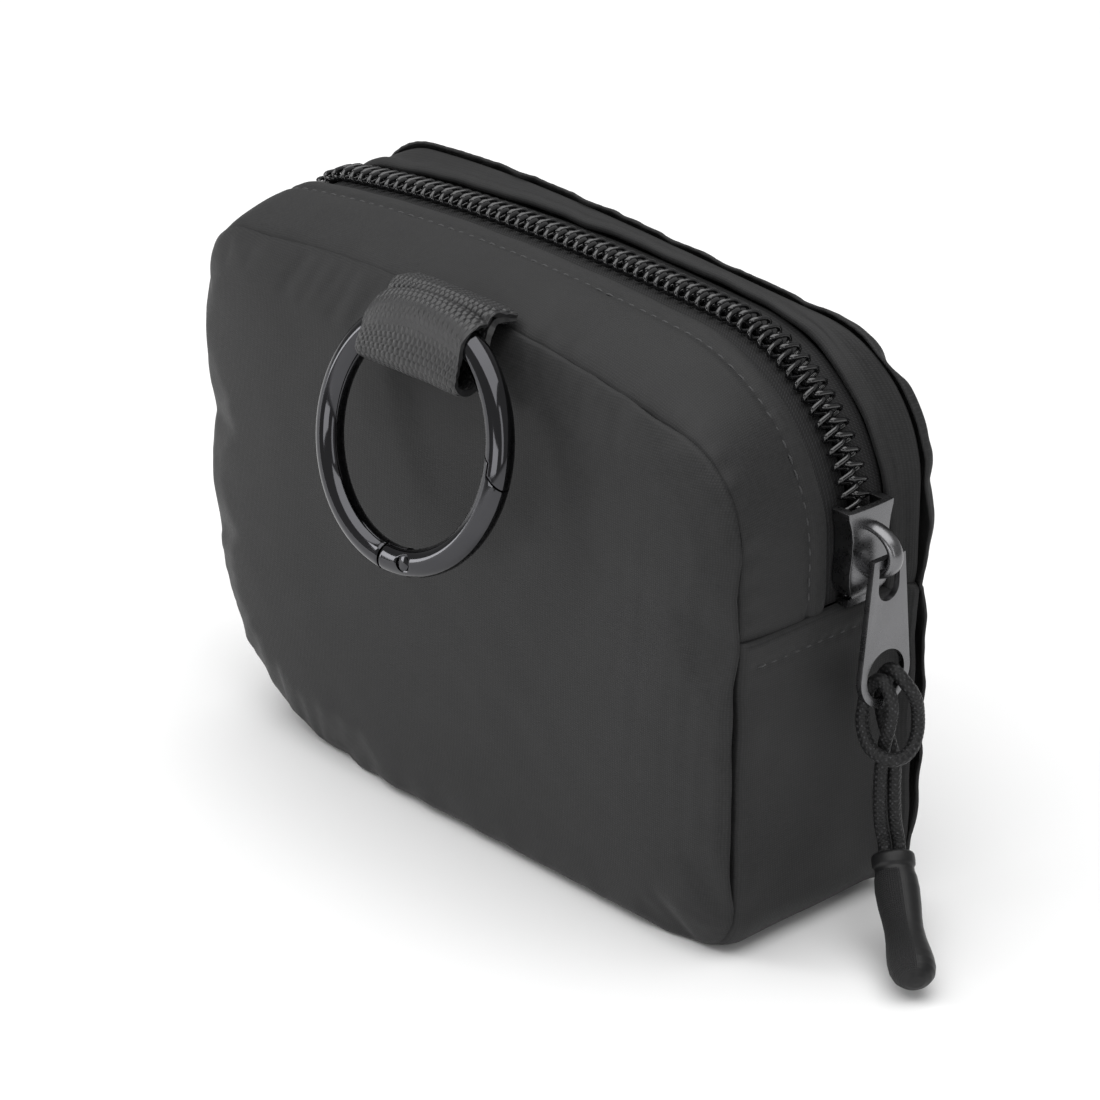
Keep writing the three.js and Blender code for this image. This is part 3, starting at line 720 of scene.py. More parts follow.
END_PROFILE = np.array([
    (0.0, 0.0), (2.6, 0.0), (3.45, 0.004), (3.72, 0.02), (3.78, 0.05), (3.72, 0.085), (3.4, 0.105),
    (3.42, 0.13), (3.7, 0.17), (3.86, 0.25), (3.72, 0.36), (3.45, 0.46), (3.36, 0.54), (3.5, 0.63),
    (3.82, 0.72), (4.02, 0.8), (3.98, 0.87), (3.6, 0.925), (2.8, 0.965), (1.5, 0.992), (0.0, 1.0),
])


def bezier(points, t):
    a, b, c = (np.array(p, float) for p in points)
    t = t[:, None]
    return a * (1 - t) ** 2 + 2 * b * t * (1 - t) + c * t ** 2, 2 * ((b - a) * (1 - t) + (c - b) * t)


def end_skin(a, b):
    """The end's skin: a goes round it and b from its collar to its foot."""
    run = run_of(END_PROFILE * (1, 30))
    radius = np.interp(b * run[-1], run, END_PROFILE[:, 0])
    share = np.interp(b * run[-1], run, END_PROFILE[:, 1])
    fine = bezier(END_CURVE, np.linspace(0, 1, 400))[0]
    t = np.interp(share * run_of(fine)[-1], run_of(fine), np.linspace(0, 1, 400))
    centre, direction = bezier(END_CURVE, t)
    direction /= np.linalg.norm(direction, axis=1)[:, None]
    side = np.c_[direction[:, 1], -direction[:, 0], np.zeros(len(a))]
    side /= np.linalg.norm(side, axis=1)[:, None]
    up = np.cross(side, direction)
    turn = 2 * np.pi * a
    return centre + radius[:, None] * (
        np.cos(turn)[:, None] * side + END_FLAT * np.sin(turn)[:, None] * up)


pull_end = sheet_of("pull_end_moulded", 96, 150, end_skin, (25.0, 34.0), wrap=True)
end_points = points_of(pull_end)
centre_line = bezier(END_CURVE, np.linspace(0, 1, 200))[0]
nearest = np.argmin(np.linalg.norm(end_points[:, None] - centre_line[None], axis=2), axis=1)
facing = (end_points - centre_line[nearest])
facing /= np.maximum(np.linalg.norm(facing, axis=1), 1e-6)[:, None]
LEFT_FACE = np.array((-0.55, -0.8, 0.25))
grip_share = np.clip((facing @ LEFT_FACE - 0.05) * 4, 0, 1)
grip_share *= np.clip((nearest - 26) / 6, 0, 1) * np.clip((196 - nearest) / 6, 0, 1)
grip = pull_end.data.attributes.new("grip", "FLOAT", "POINT")
grip.data.foreach_set("value", grip_share.astype(np.float32))
edited(pull_end, outwards)
smooth(pull_end, 50)
dressed(pull_end, soft_rubber, "pull", "soft_rubber", "pull_end")

# ---------------------------------------------------------------- padded panels
def whole_line(line):
    """The seam's closed outline, from the right cross seam over the top and back."""
    return np.vstack([upper_line(line)[:-1], lower_line(line)[:-1]])


def inflated(piece, pinned, cap, frames, pressure, spare):
    """Blows a sheet up as cloth held at its pinned points; cap is the most that a point moves.
    The cloth is worked at 20 times its size, where Blender's cloth is steady."""
    start = points_of(piece)
    grown = 20
    place_points(piece, start * grown)
    group = piece.vertex_groups.new(name="seam")
    group.add([int(i) for i in np.nonzero(pinned)[0]], 1.0, "REPLACE")
    cloth = piece.modifiers.new("cloth", "CLOTH")
    settings = cloth.settings
    settings.quality = 6
    settings.mass = 0.15
    settings.tension_stiffness = settings.compression_stiffness = 60
    settings.shear_stiffness = 20
    settings.bending_stiffness = 1.5
    settings.use_pressure = True
    settings.uniform_pressure_force = pressure
    settings.vertex_group_mass = "seam"
    settings.shrink_min = -spare
    settings.effector_weights.gravity = 0
    cloth.point_cache.frame_start = 1
    cloth.point_cache.frame_end = frames
    for number in range(1, frames + 1):
        bpy.context.scene.frame_set(number)
    only(piece)
    bpy.ops.object.modifier_apply(modifier=cloth.name)
    bpy.context.scene.frame_set(1)
    piece.vertex_groups.clear()
    moved = (points_of(piece) / grown - start) * (0.25, 1, 0.25)
    far = np.linalg.norm(moved, axis=1)
    moved *= np.minimum(1, cap / np.maximum(far, 1e-9))[:, None]
    return place_points(piece, start + moved)


SEAM_STEPS = 1600  # places on a seam that a panel's points are measured from


def nearest_on(line, points):
    """Each point's closest place on a line in X-Z: its number, and how far away it is."""
    number, gap = np.empty(len(points), int), np.empty(len(points))
    for first in range(0, len(points), 2000):
        some = slice(first, first + 2000)
        away = np.linalg.norm(points[some, None, [0, 2]] - line[None], axis=2)
        number[some], gap[some] = away.argmin(1), away.min(1)
    return number, gap


PANEL_FLAT = 0.45  # share of a panel, from its middle, that is flat
SEAM_Y = 19.45  # depth of a panel's seam
EDGE_ROLL = 1.35  # how far its rolled edge stands out past the seam
EDGE_SHARE = 0.035  # share of the panel that the roll takes
CROWN = 2.75  # how far its middle stands out past the roll


def panel_cover(name, side, line, puckers):
    """A panel's cover: a pillow from its seam, side -1 at the front and 1 at the back."""
    outline = whole_line(line)
    outline = np.vstack([outline, outline[:1]])

    def pillow(a, b):
        x, z = 2 * a - 1, 2 * b - 1
        level = np.maximum(np.abs(x), np.abs(z))
        level_safe = np.maximum(level, 1e-9)
        x, z = x / level_safe, z / level_safe
        # Round the square from the middle of its right side, anticlockwise, as 0 to 1.
        round_share = np.select(
            [(x >= 1 - 1e-9) & (z >= 0), (z >= 1 - 1e-9), (x <= -1 + 1e-9), (z <= -1 + 1e-9)],
            [z / 8, (2 - x) / 8, (4 - z) / 8, (6 + x) / 8], (8 + z) / 8)
        at = rim_at(round_share)
        x_at, z_at = at[:, 0] * level, PANEL_MIDDLE + (at[:, 1] - PANEL_MIDDLE) * level
        fall = np.clip(level - PANEL_FLAT, 0, 1) / (1 - PANEL_FLAT)
        rise = np.where(level < PANEL_FLAT, 1, 1 - fall ** 3.2)
        edge = 1 - (1 - np.clip((1 - level) / EDGE_SHARE, 0, 1)) ** 2
        low = np.clip((z_at * -1 + 40) / 30, 0, 1) * (0.55 if side < 0 else 0.3)
        rise = rise * (1 - low) + low * (1 - np.clip(level, 0, 1) ** 9)
        y = side * (SEAM_Y + EDGE_ROLL * np.sqrt(np.clip(edge, 0, 1)) + CROWN * rise)
        return np.c_[x_at, y, z_at]

    # The outline's share of length where the square's corners fall, so that cells stay square.
    run = run_of(outline)

    def share_at(point):
        return run[np.argmin(np.linalg.norm(outline - point, axis=1))] / run[-1]

    marks = []
    for sign, (half, corner, shoulder, _, foot) in ((1, line["right"]), (-1, line["left"])):
        marks.append(share_at((sign * (half - 0.29 * corner), shoulder + 0.71 * corner)))
        marks.append(share_at((sign * (half - 0.29 * foot), line["floor"] + 0.29 * foot)))
    marks = [marks[0], marks[2], marks[3], marks[1]]

    def rim_at(round_share):
        known = [-0.125, 0.125, 0.375, 0.625, 0.875, 1.125]
        shares = [marks[3] - 1, *marks, marks[0] + 1]
        share = np.interp(round_share, known, shares) % 1
        return at_share(outline, share)

    cover = sheet_of(name, 104, 80, pillow, (134, 100))
    gaps = nearest_on(outline, points_of(cover))[1]
    edited(cover, outwards)
    only(cover)
    facing_out = np.array([v.normal[1] for v in cover.data.vertices]).mean() * side
    if facing_out < 0:
        edited(cover, lambda: bpy.ops.mesh.flip_normals())
    inflated(cover, gaps < 0.45, 1.3, 20, 1.6, 0.012)
    subdivided(cover)
    points = points_of(cover)
    # Where each point stands on the seam: how far round it is, and how far in from it.
    number, gap = nearest_on(at_share(outline, np.linspace(0, 1, SEAM_STEPS)), points)
    spot = number / SEAM_STEPS * run[-1]
    lift, spread_out = puckers(points, spot, gap)
    inward = points[:, [0, 2]] - (0, PANEL_MIDDLE)
    inward /= np.maximum(np.linalg.norm(inward, axis=1), 1e-6)[:, None]
    points[:, 1] += side * lift
    points[:, 0] += inward[:, 0] * spread_out
    points[:, 2] += inward[:, 1] * spread_out
    place_points(cover, points)
    modified(cover, "SOLIDIFY", thickness=0.5 * MM, offset=-1)
    smooth(cover)
    return cover


def front_puckers(points, spot, gap):
    x, z = points[:, 0], points[:, 2]
    near = bell(gap, 7) * np.clip(gap / 0.8, 0, 1)
    tight = bell(gap, 3.2) * np.clip(gap / 0.6, 0, 1)
    low_left = np.clip((20 - x) / 60, 0, 1) * np.clip((70 - z) / 40, 0, 1)
    right = np.clip((x - 40) / 20, 0, 1)
    lift = 0.11 * ripples(spot, 22, 9, 5, 3) * near * (0.4 + low_left)
    lift += 0.06 * ripples(spot, 8, 4, 5, 4) * tight
    lift += 0.10 * rumple(x, z, 46, 8, 5) + 0.035 * rumple(x, z, 17, 9, 6)
    lift += 0.07 * ripples(x + 1.5 * np.sin(z / 17), 9, 4, 4, 7) * right * bell((z - 50) / 34, 1)
    spread_out = 0.3 * ripples(spot, 19, 8, 5, 8) * bell(gap - 2, 3.5) * (0.3 + 0.6 * low_left)
    return lift, spread_out


BACK_TIGHT = (-29.0, -11.2, 10.9, 24.0, 43.0, 60.0)


def back_puckers(points, spot, gap):
    x, z = points[:, 0], points[:, 2]
    near = bell(gap, 8) * np.clip(gap / 0.8, 0, 1)
    top = np.clip((z - 75) / 12, 0, 1)
    notch = sum(bell(x - at, 2.6) for at in BACK_TIGHT) * top
    lift = 0.2 * ripples(spot, 22, 10, 5, 13) * near * (1 - 0.7 * top)
    lift += 0.10 * ripples(spot, 8, 4, 5, 14) * bell(gap, 3.2) * np.clip(gap / 0.6, 0, 1)
    lift += 0.10 * rumple(x, z, 46, 8, 15) + 0.035 * rumple(x, z, 17, 9, 16)
    lift -= 0.35 * notch * bell(gap - 1.5, 6)
    spread_out = 0.4 * ripples(spot, 17, 9, 4, 18) * bell(gap - 2, 3.5) * (1 - top)
    right = np.clip((x - 42) / 16, 0, 1)
    high = np.clip((z - 46) / 26, 0, 1)
    reach_out = np.maximum(1.5 * top, 2.0 * right * high)
    reach_out *= 1 - 0.75 * np.clip(notch, 0, 1)
    spread_out += reach_out * np.clip(gap / 2, 0, 1) * np.exp(-(np.maximum(gap - 2, 0) / 6) ** 2)
    return lift, spread_out


front_cover = panel_cover("front_panel_cover", -1, FRONT_SEAM, front_puckers)
dressed(front_cover, shell_flat, "bag", "shell_nylon", "front_panel")
back_cover = panel_cover("back_panel_cover", 1, BACK_SEAM, back_puckers)
dressed(back_cover, shell_flat, "bag", "shell_nylon", "back_panel")

# ---------------------------------------------------------------- zip strips and gusset
STITCH = 2.7
UPPER_LENGTH = run_of(upper_line(MIDDLE))[-1]
LOWER_LENGTH = run_of(lower_line(MIDDLE))[-1]


def section_points(section, b):
    """Depth and stand-off at share b along a section drawn as (depth, height) points."""
    at = at_share(np.array(section, float), b)
    return at[:, 0], at[:, 1]


FRONT_SECTION = [
    (-19.6, -1.6), (-19.3, -0.7), (-18.7, -0.1), (-17.4, 0.22), (-15, 0.3), (-9, 0.3), (-5.4, 0.22),
    (-4.3, -0.02), (-3.7, -0.02), (-2.7, 0.24), (-1.2, 0.3), (-0.3, 0.12), (0.15, -0.35),
    (0.0, -0.9), (-0.7, -1.15), (-3.5, -1.2),
]
BACK_SECTION = [
    (18.0, -1.2), (15.6, -1.15), (14.75, -0.8), (14.45, -0.2), (14.65, 0.4), (15.3, 0.75),
    (16.0, 0.65), (16.6, 0.2), (17.3, -0.15), (18.2, -0.35), (18.9, -0.8), (19.5, -1.6),
]


def strip_end_dip(along, length):
    """The strips' ends lie under the lower gusset's folded edge."""
    return -0.55 * (bell(along, 2.2) + bell(length - along, 2.2))


def front_strip_place(a, b):
    y, height = section_points(FRONT_SECTION, b)
    along = a * UPPER_LENGTH
    outer = b < 0.72  # the part of the section that is seen, before it turns under
    seam_gap, fold_gap = y + GUSSET, -y
    puff = 0.20 * ripples(along, 26, 12, 5, 21) * bell(seam_gap - 2, 4.5)
    puff += 0.13 * ripples(along, 9, 5, 5, 22) * bell(seam_gap - 1, 2.5)
    puff += 0.10 * ripples(along + 0.3 * y, 30, 14, 4, 23) * bell(fold_gap - 8, 5)
    pinch = 0.5 + 0.5 * np.cos(2 * np.pi * along / STITCH)
    dimple = -(0.10 + 0.16 * pinch + 0.05 * ripples(along, 14, 5, 4, 24)) * bell(fold_gap - 4, 0.75)
    puff += 0.10 * ripples(along, 10, 5, 5, 25) * bell(fold_gap - 1.5, 1.6)
    height = height + np.where(outer, puff + dimple, 0) + strip_end_dip(along, UPPER_LENGTH)
    y = y + 0.12 * ripples(along, 24, 10, 4, 26) * bell(y, 2.5)
    return wall_point(upper_line, zip_share, a, y, height)


def back_strip_place(a, b):
    y, height = section_points(BACK_SECTION, b)
    along = a * UPPER_LENGTH
    height = height + 0.16 * ripples(along, 24, 9, 5, 31) * bell(y - 15.5, 1.5)
    height = height + strip_end_dip(along, UPPER_LENGTH)
    y = y + 0.15 * ripples(along, 26, 10, 4, 32) * bell(y - 15, 1.5)
    return wall_point(upper_line, zip_share, a, y, height)


def points_outwards(piece, middle=(0, 0, 52)):
    """Turns a thin sheet's faces away from the middle of the bag."""
    centre = points_of(piece).mean(0)
    total = 0.0
    for face in piece.data.polygons:
        total += face.area * face.normal.dot(face.center - Vector(middle) * MM)
    if total < 0:
        edited(piece, lambda: bpy.ops.mesh.flip_normals())
    return piece


def outward_sheet(name, sizes, place, flat):
    strip = sheet_of(name, *sizes, place, flat)
    edited(strip, outwards)
    return points_outwards(strip)


STRIP_THICK = 0.35
for node, place, rows, wide in (
        ("zip_strip_front", front_strip_place, 60, 26), ("zip_strip_back", back_strip_place, 36, 11)):
    strip = outward_sheet(f"{node}_cover", (300, rows), place, (UPPER_LENGTH, wide))
    modified(strip, "SOLIDIFY", thickness=STRIP_THICK * MM, offset=-1)
    smooth(strip)
    dressed(strip, shell_by_map, "bag", "shell_nylon", node)

GUSSET_HEM = 4.2  # from the gusset's folded top edge down to its stitching


def gusset_place(a, b):
    y = (2 * b - 1) * 19.6
    side_gap = GUSSET - np.abs(y)
    # a runs past the cross seams, where the cloth turns under itself.
    length = LOWER_LENGTH + 4.0
    along = a * length - 2.0
    end_gap = np.minimum(along, LOWER_LENGTH - along)
    height = -1.6 * np.clip(1 - (side_gap + 0.4) / 1.1, 0, 1) ** 1.5 + 0.1
    rise = 0.35 * np.clip(end_gap / 0.8 + 1, 0, 1) ** 0.6
    height = height + rise * bell(np.maximum(end_gap - 2, 0), 4)
    height = height - 1.3 * np.clip(-end_gap / 1.2, 0, 1) ** 2
    floor_part = np.clip((np.minimum(along - 95, LOWER_LENGTH - 95 - along)) / 12, 0, 1)
    loose = 1 - 0.85 * floor_part
    puff = 0.22 * ripples(along, 24, 11, 5, 41) * bell(side_gap - 2, 4) * loose
    puff += 0.10 * ripples(along, 9, 5, 5, 42) * bell(side_gap - 1, 2.2) * loose
    puff += 0.12 * rumple(along, y, 30, 7, 43) * loose * bell(y, 16)
    pinch = 0.5 + 0.5 * np.cos(2 * np.pi * y / STITCH)
    puff -= (0.12 + 0.2 * pinch) * bell(end_gap - GUSSET_HEM, 0.8) * np.clip(side_gap / 3, 0, 1)
    height = height + np.where(end_gap > 0, puff, 0)
    share = np.clip(along, 0, LOWER_LENGTH) / LOWER_LENGTH
    points = wall_point(lower_line, gusset_share, share, y, height)
    past = np.clip(-end_gap, 0, 2)
    points[:, 2] += np.minimum(past, 0.8) * 0.9
    return points


gusset = outward_sheet("lower_gusset_cover", (360, 64), gusset_place, (LOWER_LENGTH + 4, 39))
gusset_points = points_of(gusset)
gusset_points[:, 2] = np.maximum(gusset_points[:, 2], 0.02)
place_points(gusset, gusset_points)
modified(gusset, "SOLIDIFY", thickness=0.4 * MM, offset=-1)
smooth(gusset)
dressed(gusset, shell_by_map, "bag", "shell_nylon", "lower_gusset")

# ---------------------------------------------------------------- stitching
def stitch_rows(name, rows, length=2.0, thick=0.42):
    """Threads laid along rows of (point, run, outward) in millimetres."""
    bpy.ops.mesh.primitive_uv_sphere_add(segments=8, ring_count=6, radius=0.5 * MM)
    template = named(name)
    bend = points_of(template) * (length, thick, thick * 0.75)
    bend[:, 2] -= 0.22 * (bend[:, 0] / (length / 2)) ** 2
    place_points(template, bend)
    matrices = []
    for at, run, out in rows:
        run, out = Vector(run).normalized(), Vector(out).normalized()
        across = out.cross(run)
        matrices.append(standing(at, run, across, out))
    made = copies_of(template, name, matrices)
    smooth(made)
    return made


def rows_on_wall(line_of, share_of, length, first, last, y, height, pitch=STITCH):
    count = int((last - first) / pitch)
    along = first + pitch * (np.arange(count) + 0.5)
    share = along / length
    deep = np.full(count, float(y))
    here = wall_point(line_of, share_of, share, deep, np.full(count, height))
    ahead = wall_point(line_of, share_of, share + 0.3 / length, deep, np.full(count, height))
    out = wall_point(line_of, share_of, share, deep, np.full(count, height + 1)) - here
    return list(zip(here, ahead - here, out))


TOPSTITCH_Y = -4.0
TOPSTITCH_END = 3.2  # from a strip's end to its first stitch
topstitch = rows_on_wall(
    upper_line, zip_share, UPPER_LENGTH, TOPSTITCH_END, UPPER_LENGTH - TOPSTITCH_END,
    TOPSTITCH_Y, -0.16)
for share in (GUSSET_HEM / LOWER_LENGTH, 1 - GUSSET_HEM / LOWER_LENGTH):
    count = int(34 / STITCH)
    deep = (np.arange(count) - (count - 1) / 2) * STITCH
    here = wall_point(lower_line, gusset_share, np.full(count, share), deep, np.full(count, 0.12))
    out = wall_point(lower_line, gusset_share, np.full(count, share), deep, np.full(count, 1.12)) - here
    topstitch += list(zip(here, np.tile((0, 1.0, 0), (count, 1)), out))
stitches = stitch_rows("topstitching", topstitch)
dressed(stitches, sewing_thread, "bag", "binding")

# ---------------------------------------------------------------- zip tapes, coils and stops
def tape_place(side, reach):
    def place(a, b):
        y = ZIP_Y + side * (0.5 + b * reach)
        along = a * UPPER_LENGTH
        height = -TAPE_TOP + 0.06 * ripples(along, 20, 9, 4, 51 + side) * bell(b - 0.5, 0.4)
        share = np.clip(0.004 + a * 0.992, 0, 1)
        return wall_point(upper_line, lambda depth: np.ones_like(depth), share, y, height)
    return place


for side, name, reach in ((-1, "front", 11.0), (1, "back", 7.4)):
    tape = outward_sheet(
        f"zip_tape_{name}_weave", (260, 20), tape_place(side, reach), (UPPER_LENGTH, reach))
    modified(tape, "SOLIDIFY", thickness=0.5 * MM, offset=-1)
    smooth(tape, 40)
    dressed(tape, tape_weave, "bag", "zip_tape", f"zip_tape_{name}")


def coil_turn(name):
    """One turn of a flattened coil: X along the zip, Y from its outer edge to its head, Z up."""
    steps, sides, wire = 14, 6, 0.46
    t = np.linspace(0, 1, steps + 1)

    def flatten(value, power):
        return np.sign(value) * np.abs(value) ** power

    angle = 2 * np.pi * t
    middle = np.c_[
        COIL_PITCH * (t - 0.5),
        1.80 * flatten(np.cos(angle), 0.85) * -1,
        0.82 * flatten(np.sin(angle), 0.7),
    ]
    thick = np.where(np.cos(angle) < -0.3, wire * 1.28, wire)

    def skin(a, b):
        reach = b * steps
        low = np.clip(reach.astype(int), 0, steps - 1)
        rest = (reach - low)[:, None]
        centre = middle[low] * (1 - rest) + middle[low + 1] * rest
        around = np.vstack([middle[-2] - (COIL_PITCH, 0, 0), middle, middle[1] + (COIL_PITCH, 0, 0)])
        run = (around[2:] - around[:-2])[np.clip(np.rint(reach).astype(int), 0, steps)]
        run /= np.linalg.norm(run, axis=1)[:, None]
        side_way = np.cross(run, (1, 0, 0))
        side_way /= np.linalg.norm(side_way, axis=1)[:, None]
        other = np.cross(run, side_way)
        radius = thick[np.clip(np.rint(reach).astype(int), 0, steps)][:, None]
        turn = 2 * np.pi * a[:, None]
        return centre + radius * (np.cos(turn) * side_way + np.sin(turn) * other)

    return sheet_of(name, sides, steps, skin, (3, 9), wrap=True)


def coil_matrices(side, shift):
    count = int((UPPER_LENGTH - 5.0) / COIL_PITCH)
    along = 2.5 + COIL_PITCH * (np.arange(count) + 0.5 + shift)
    share = along / UPPER_LENGTH
    ones = lambda depth: np.ones_like(depth)
    deep = np.full(count, ZIP_Y + side * 1.25)
    here = wall_point(upper_line, ones, share, deep, np.zeros(count))
    ahead = wall_point(upper_line, ones, share + 0.2 / UPPER_LENGTH, deep, np.zeros(count))
    behind = wall_point(upper_line, ones, share - 0.2 / UPPER_LENGTH, deep, np.zeros(count))
    matrices = []
    for at, run in zip(here, ahead - behind):
        run = Vector(run).normalized()
        inwards = Vector((0, -side, 0))
        up = run.cross(inwards) * (1 if side > 0 else -1)
        if up.dot(Vector(at) - Vector((0, ZIP_Y, 45))) < 0:
            up = -up
        matrices.append(standing(at, run, inwards, up))
    return matrices


for side, name, shift in ((-1, "front", 0.0), (1, "back", 0.5)):
    coil = copies_of(coil_turn(f"coil_turn_{name}"), f"zip_coil_{name}_wire", coil_matrices(side, shift))
    edited(coil, merge(6e-5), close_ends, lambda: bpy.ops.mesh.select_all(action="SELECT"), outwards)
    smooth(coil)
    dressed(coil, coil_nylon, "bag", "zip_coil", f"zip_coil_{name}")

# ---------------------------------------------------------------- slider
def box_at(name, low, high):
    middle = [(a + b) / 2 * MM for a, b in zip(low, high)]
    bpy.ops.mesh.primitive_cube_add(size=1, location=middle)
    piece = named(name)
    piece.scale = [(b - a) * MM for a, b in zip(low, high)]
    return settled(piece)


def cylinder_at(name, middle, radius, depth, axis="X", vertices=64):
    turn = {"X": (0, math.pi / 2, 0), "Y": (math.pi / 2, 0, 0), "Z": (0, 0, 0)}[axis]
    bpy.ops.mesh.primitive_cylinder_add(
        vertices=vertices, radius=radius * MM, depth=depth * MM,
        location=[c * MM for c in middle], rotation=turn)
    return settled(named(name))


SLIDER_OUTLINE = np.array([
    (-8.0, 3.3), (-7.2, 4.1), (-5.5, 4.75), (-3.0, 4.85), (0.0, 4.45), (3.0, 4.35), (5.4, 4.7),
    (6.9, 5.25), (8.0, 5.35),
])


def waisted(piece, trim=0.0):
    """Draws a block's sides in to the slider's outline."""
    points = points_of(piece)
    half = np.interp(points[:, 2] - SLIDER_Z, SLIDER_OUTLINE[:, 0], SLIDER_OUTLINE[:, 1]) - trim
    points[:, 1] = ZIP_Y + (points[:, 1] - ZIP_Y) / (SLIDER_WIDTH / 2) * half
    return place_points(piece, points)


HALF_SLIDER = SLIDER_WIDTH / 2
slider = box_at(
    "slider_shell", (66.3, ZIP_Y - HALF_SLIDER, 61.5), (PLATE_OUT, ZIP_Y + HALF_SLIDER, 77.5))
edited(slider, lambda: bpy.ops.mesh.subdivide(number_cuts=15))
waisted(slider)
channel = box_at("channel", (60, ZIP_Y - 3.72, 55), (PLATE_IN, ZIP_Y + 3.72, 85))
cut_by(slider, channel)
points = points_of(slider)
side_drop = np.clip((points[:, 0] - 68.6) / 1.7, 0, 1)
crown = 0.28 * (1 - ((points[:, 1] - ZIP_Y) / HALF_SLIDER) ** 2) * side_drop
end_drop = np.clip((np.abs(points[:, 2] - SLIDER_Z) - 5.2) / 2.8, 0, 1) ** 2
points[:, 0] += crown - 0.75 * end_drop * np.clip((66 - points[:, 2]) / 2, 0, 1) * side_drop
place_points(slider, points)
bevelled(slider, 0.32, 3, 40)
bpy.ops.mesh.primitive_torus_add(
    major_segments=64, minor_segments=24, major_radius=BRIDGE_HALF * MM,
    minor_radius=BRIDGE_WIRE / 2 * MM, rotation=(math.pi / 2, 0, 0))
bridge = settled(named("slider_bridge"))
points = points_of(bridge)
points[:, 0] *= BRIDGE_RISE / BRIDGE_HALF
points[:, 1] *= BRIDGE_WIDTH / BRIDGE_WIRE
points += (PLATE_OUT, ZIP_Y, BRIDGE_Z)
place_points(bridge, points)
edited(bridge, lambda: bpy.ops.mesh.bisect(
    plane_co=(69.9 * MM, 0, 0), plane_no=(1, 0, 0), clear_inner=True, use_fill=True))
keel = box_at("slider_keel", (64.2, ZIP_Y - 4.5, 64.5), (65.2, ZIP_Y + 4.5, 74.5))
post = box_at("slider_post", (65.0, ZIP_Y - 0.22, 64.5), (PLATE_IN + 0.3, ZIP_Y + 0.22, 68.0))
bevelled(keel, 0.3)
joined(slider, bridge, keel, post)
edited(slider, outwards)
smooth(slider, 42)
dressed(slider, gunmetal, "slider", "gunmetal", "slider_body")

# ---------------------------------------------------------------- pull tab
tab = cylinder_at("pull_tab_plate", (TAB_X, ZIP_Y, TAB_HOLE_Z), TAB_END, TAB_THICK, "X", 96)
arms = box_at("arms", (TAB_X - TAB_THICK / 2, ZIP_Y - TAB_END, TAB_HOLE_Z),
              (TAB_X + TAB_THICK / 2, ZIP_Y + TAB_END, TAB_PIVOT_Z + 0.8))
points = points_of(arms)
upper = points[:, 2] > TAB_HOLE_Z + 1
points[upper, 1] = ZIP_Y + np.sign(points[upper, 1] - ZIP_Y) * TAB_TOP_HALF
place_points(arms, points)
cut_by(tab, arms, "UNION")
cut_by(tab, cylinder_at("hole", (TAB_X, ZIP_Y, TAB_HOLE_Z), TAB_HOLE, 5, "X", 96))
slot_foot = TAB_PIVOT_Z - TAB_SLOT_DEEP - 0.7 + TAB_SLOT_HALF
slot = cylinder_at("slot", (TAB_X, ZIP_Y, slot_foot), TAB_SLOT_HALF, 5, "X", 64)
cut_by(slot, box_at("slot_top", (TAB_X - 2.5, ZIP_Y - TAB_SLOT_HALF, slot_foot),
                    (TAB_X + 2.5, ZIP_Y + TAB_SLOT_HALF, TAB_PIVOT_Z - 0.7)), "UNION")
cut_by(tab, slot)
edited(tab, merge(1e-5))
bevelled(tab, 0.26, 3, 40)
smooth(tab, 35)
dressed(tab, gunmetal, "tab", "gunmetal", "pull_tab")

# ---------------------------------------------------------------- ring, gate and rivet
ring_place = (Matrix.Translation(Vector(RING_MIDDLE) * MM)
              @ Matrix.Rotation(math.radians(90 - RING_TILT), 4, "X"))


def on_ring(degrees, radius=RING_R):
    turn = math.radians(degrees)
    return radius * math.cos(turn), radius * math.sin(turn)


def wire_ring(name):
    bpy.ops.mesh.primitive_torus_add(
        major_segments=160, minor_segments=36, major_radius=RING_R * MM, minor_radius=RING_WIRE * MM)
    return named(name)


def wedge(name, first, last, half=8.0):
    """A slice of a disc, between two angles round the ring."""
    bpy.ops.mesh.primitive_circle_add(vertices=3, radius=1 * MM, fill_type="NGON")
    piece = named(name)
    first_corner, last_corner = on_ring(first, 60), on_ring(last, 60)
    place_points(piece, [(0, 0, -half), (*first_corner, -half), (*last_corner, -half)])
    only(piece)
    bpy.ops.object.mode_set(mode="EDIT")
    bpy.ops.mesh.select_all(action="SELECT")
    bpy.ops.mesh.extrude_region_move(TRANSFORM_OT_translate={"value": (0, 0, 2 * half * MM)})
    bpy.ops.mesh.select_all(action="SELECT")
    outwards()
    bpy.ops.object.mode_set(mode="OBJECT")
    return piece


PIVOT = on_ring(GATE_PIVOT)
NOSE_REACH = math.dist(on_ring(GATE_NOSE), PIVOT)


def pivot_disc(name, radius, half=8.0, vertices=128):
    return cylinder_at(name, (*PIVOT, 0), radius, 2 * half, "Z", vertices)


def gate_region(gap, tail_gap):
    """The part of the ring that the gate takes, grown by a gap: its nose ends on arcs about
    the pivot, and its inner half has a tongue that goes further under the body."""
    tongue = pivot_disc("tongue", NOSE_REACH - 0.5 + GATE_STEP + gap)
    cut_by(tongue, cylinder_at("inner", (0, 0, 0), RING_R - 0.2 + gap, 20, "Z", 160), "INTERSECT")
    region = pivot_disc("region", NOSE_REACH - 0.5 + gap)
    cut_by(region, tongue, "UNION")
    tail = GATE_TAIL - math.degrees(tail_gap / RING_R)
    cut_by(region, wedge("slice", tail, GATE_NOSE + 18), "INTERSECT")
    return region


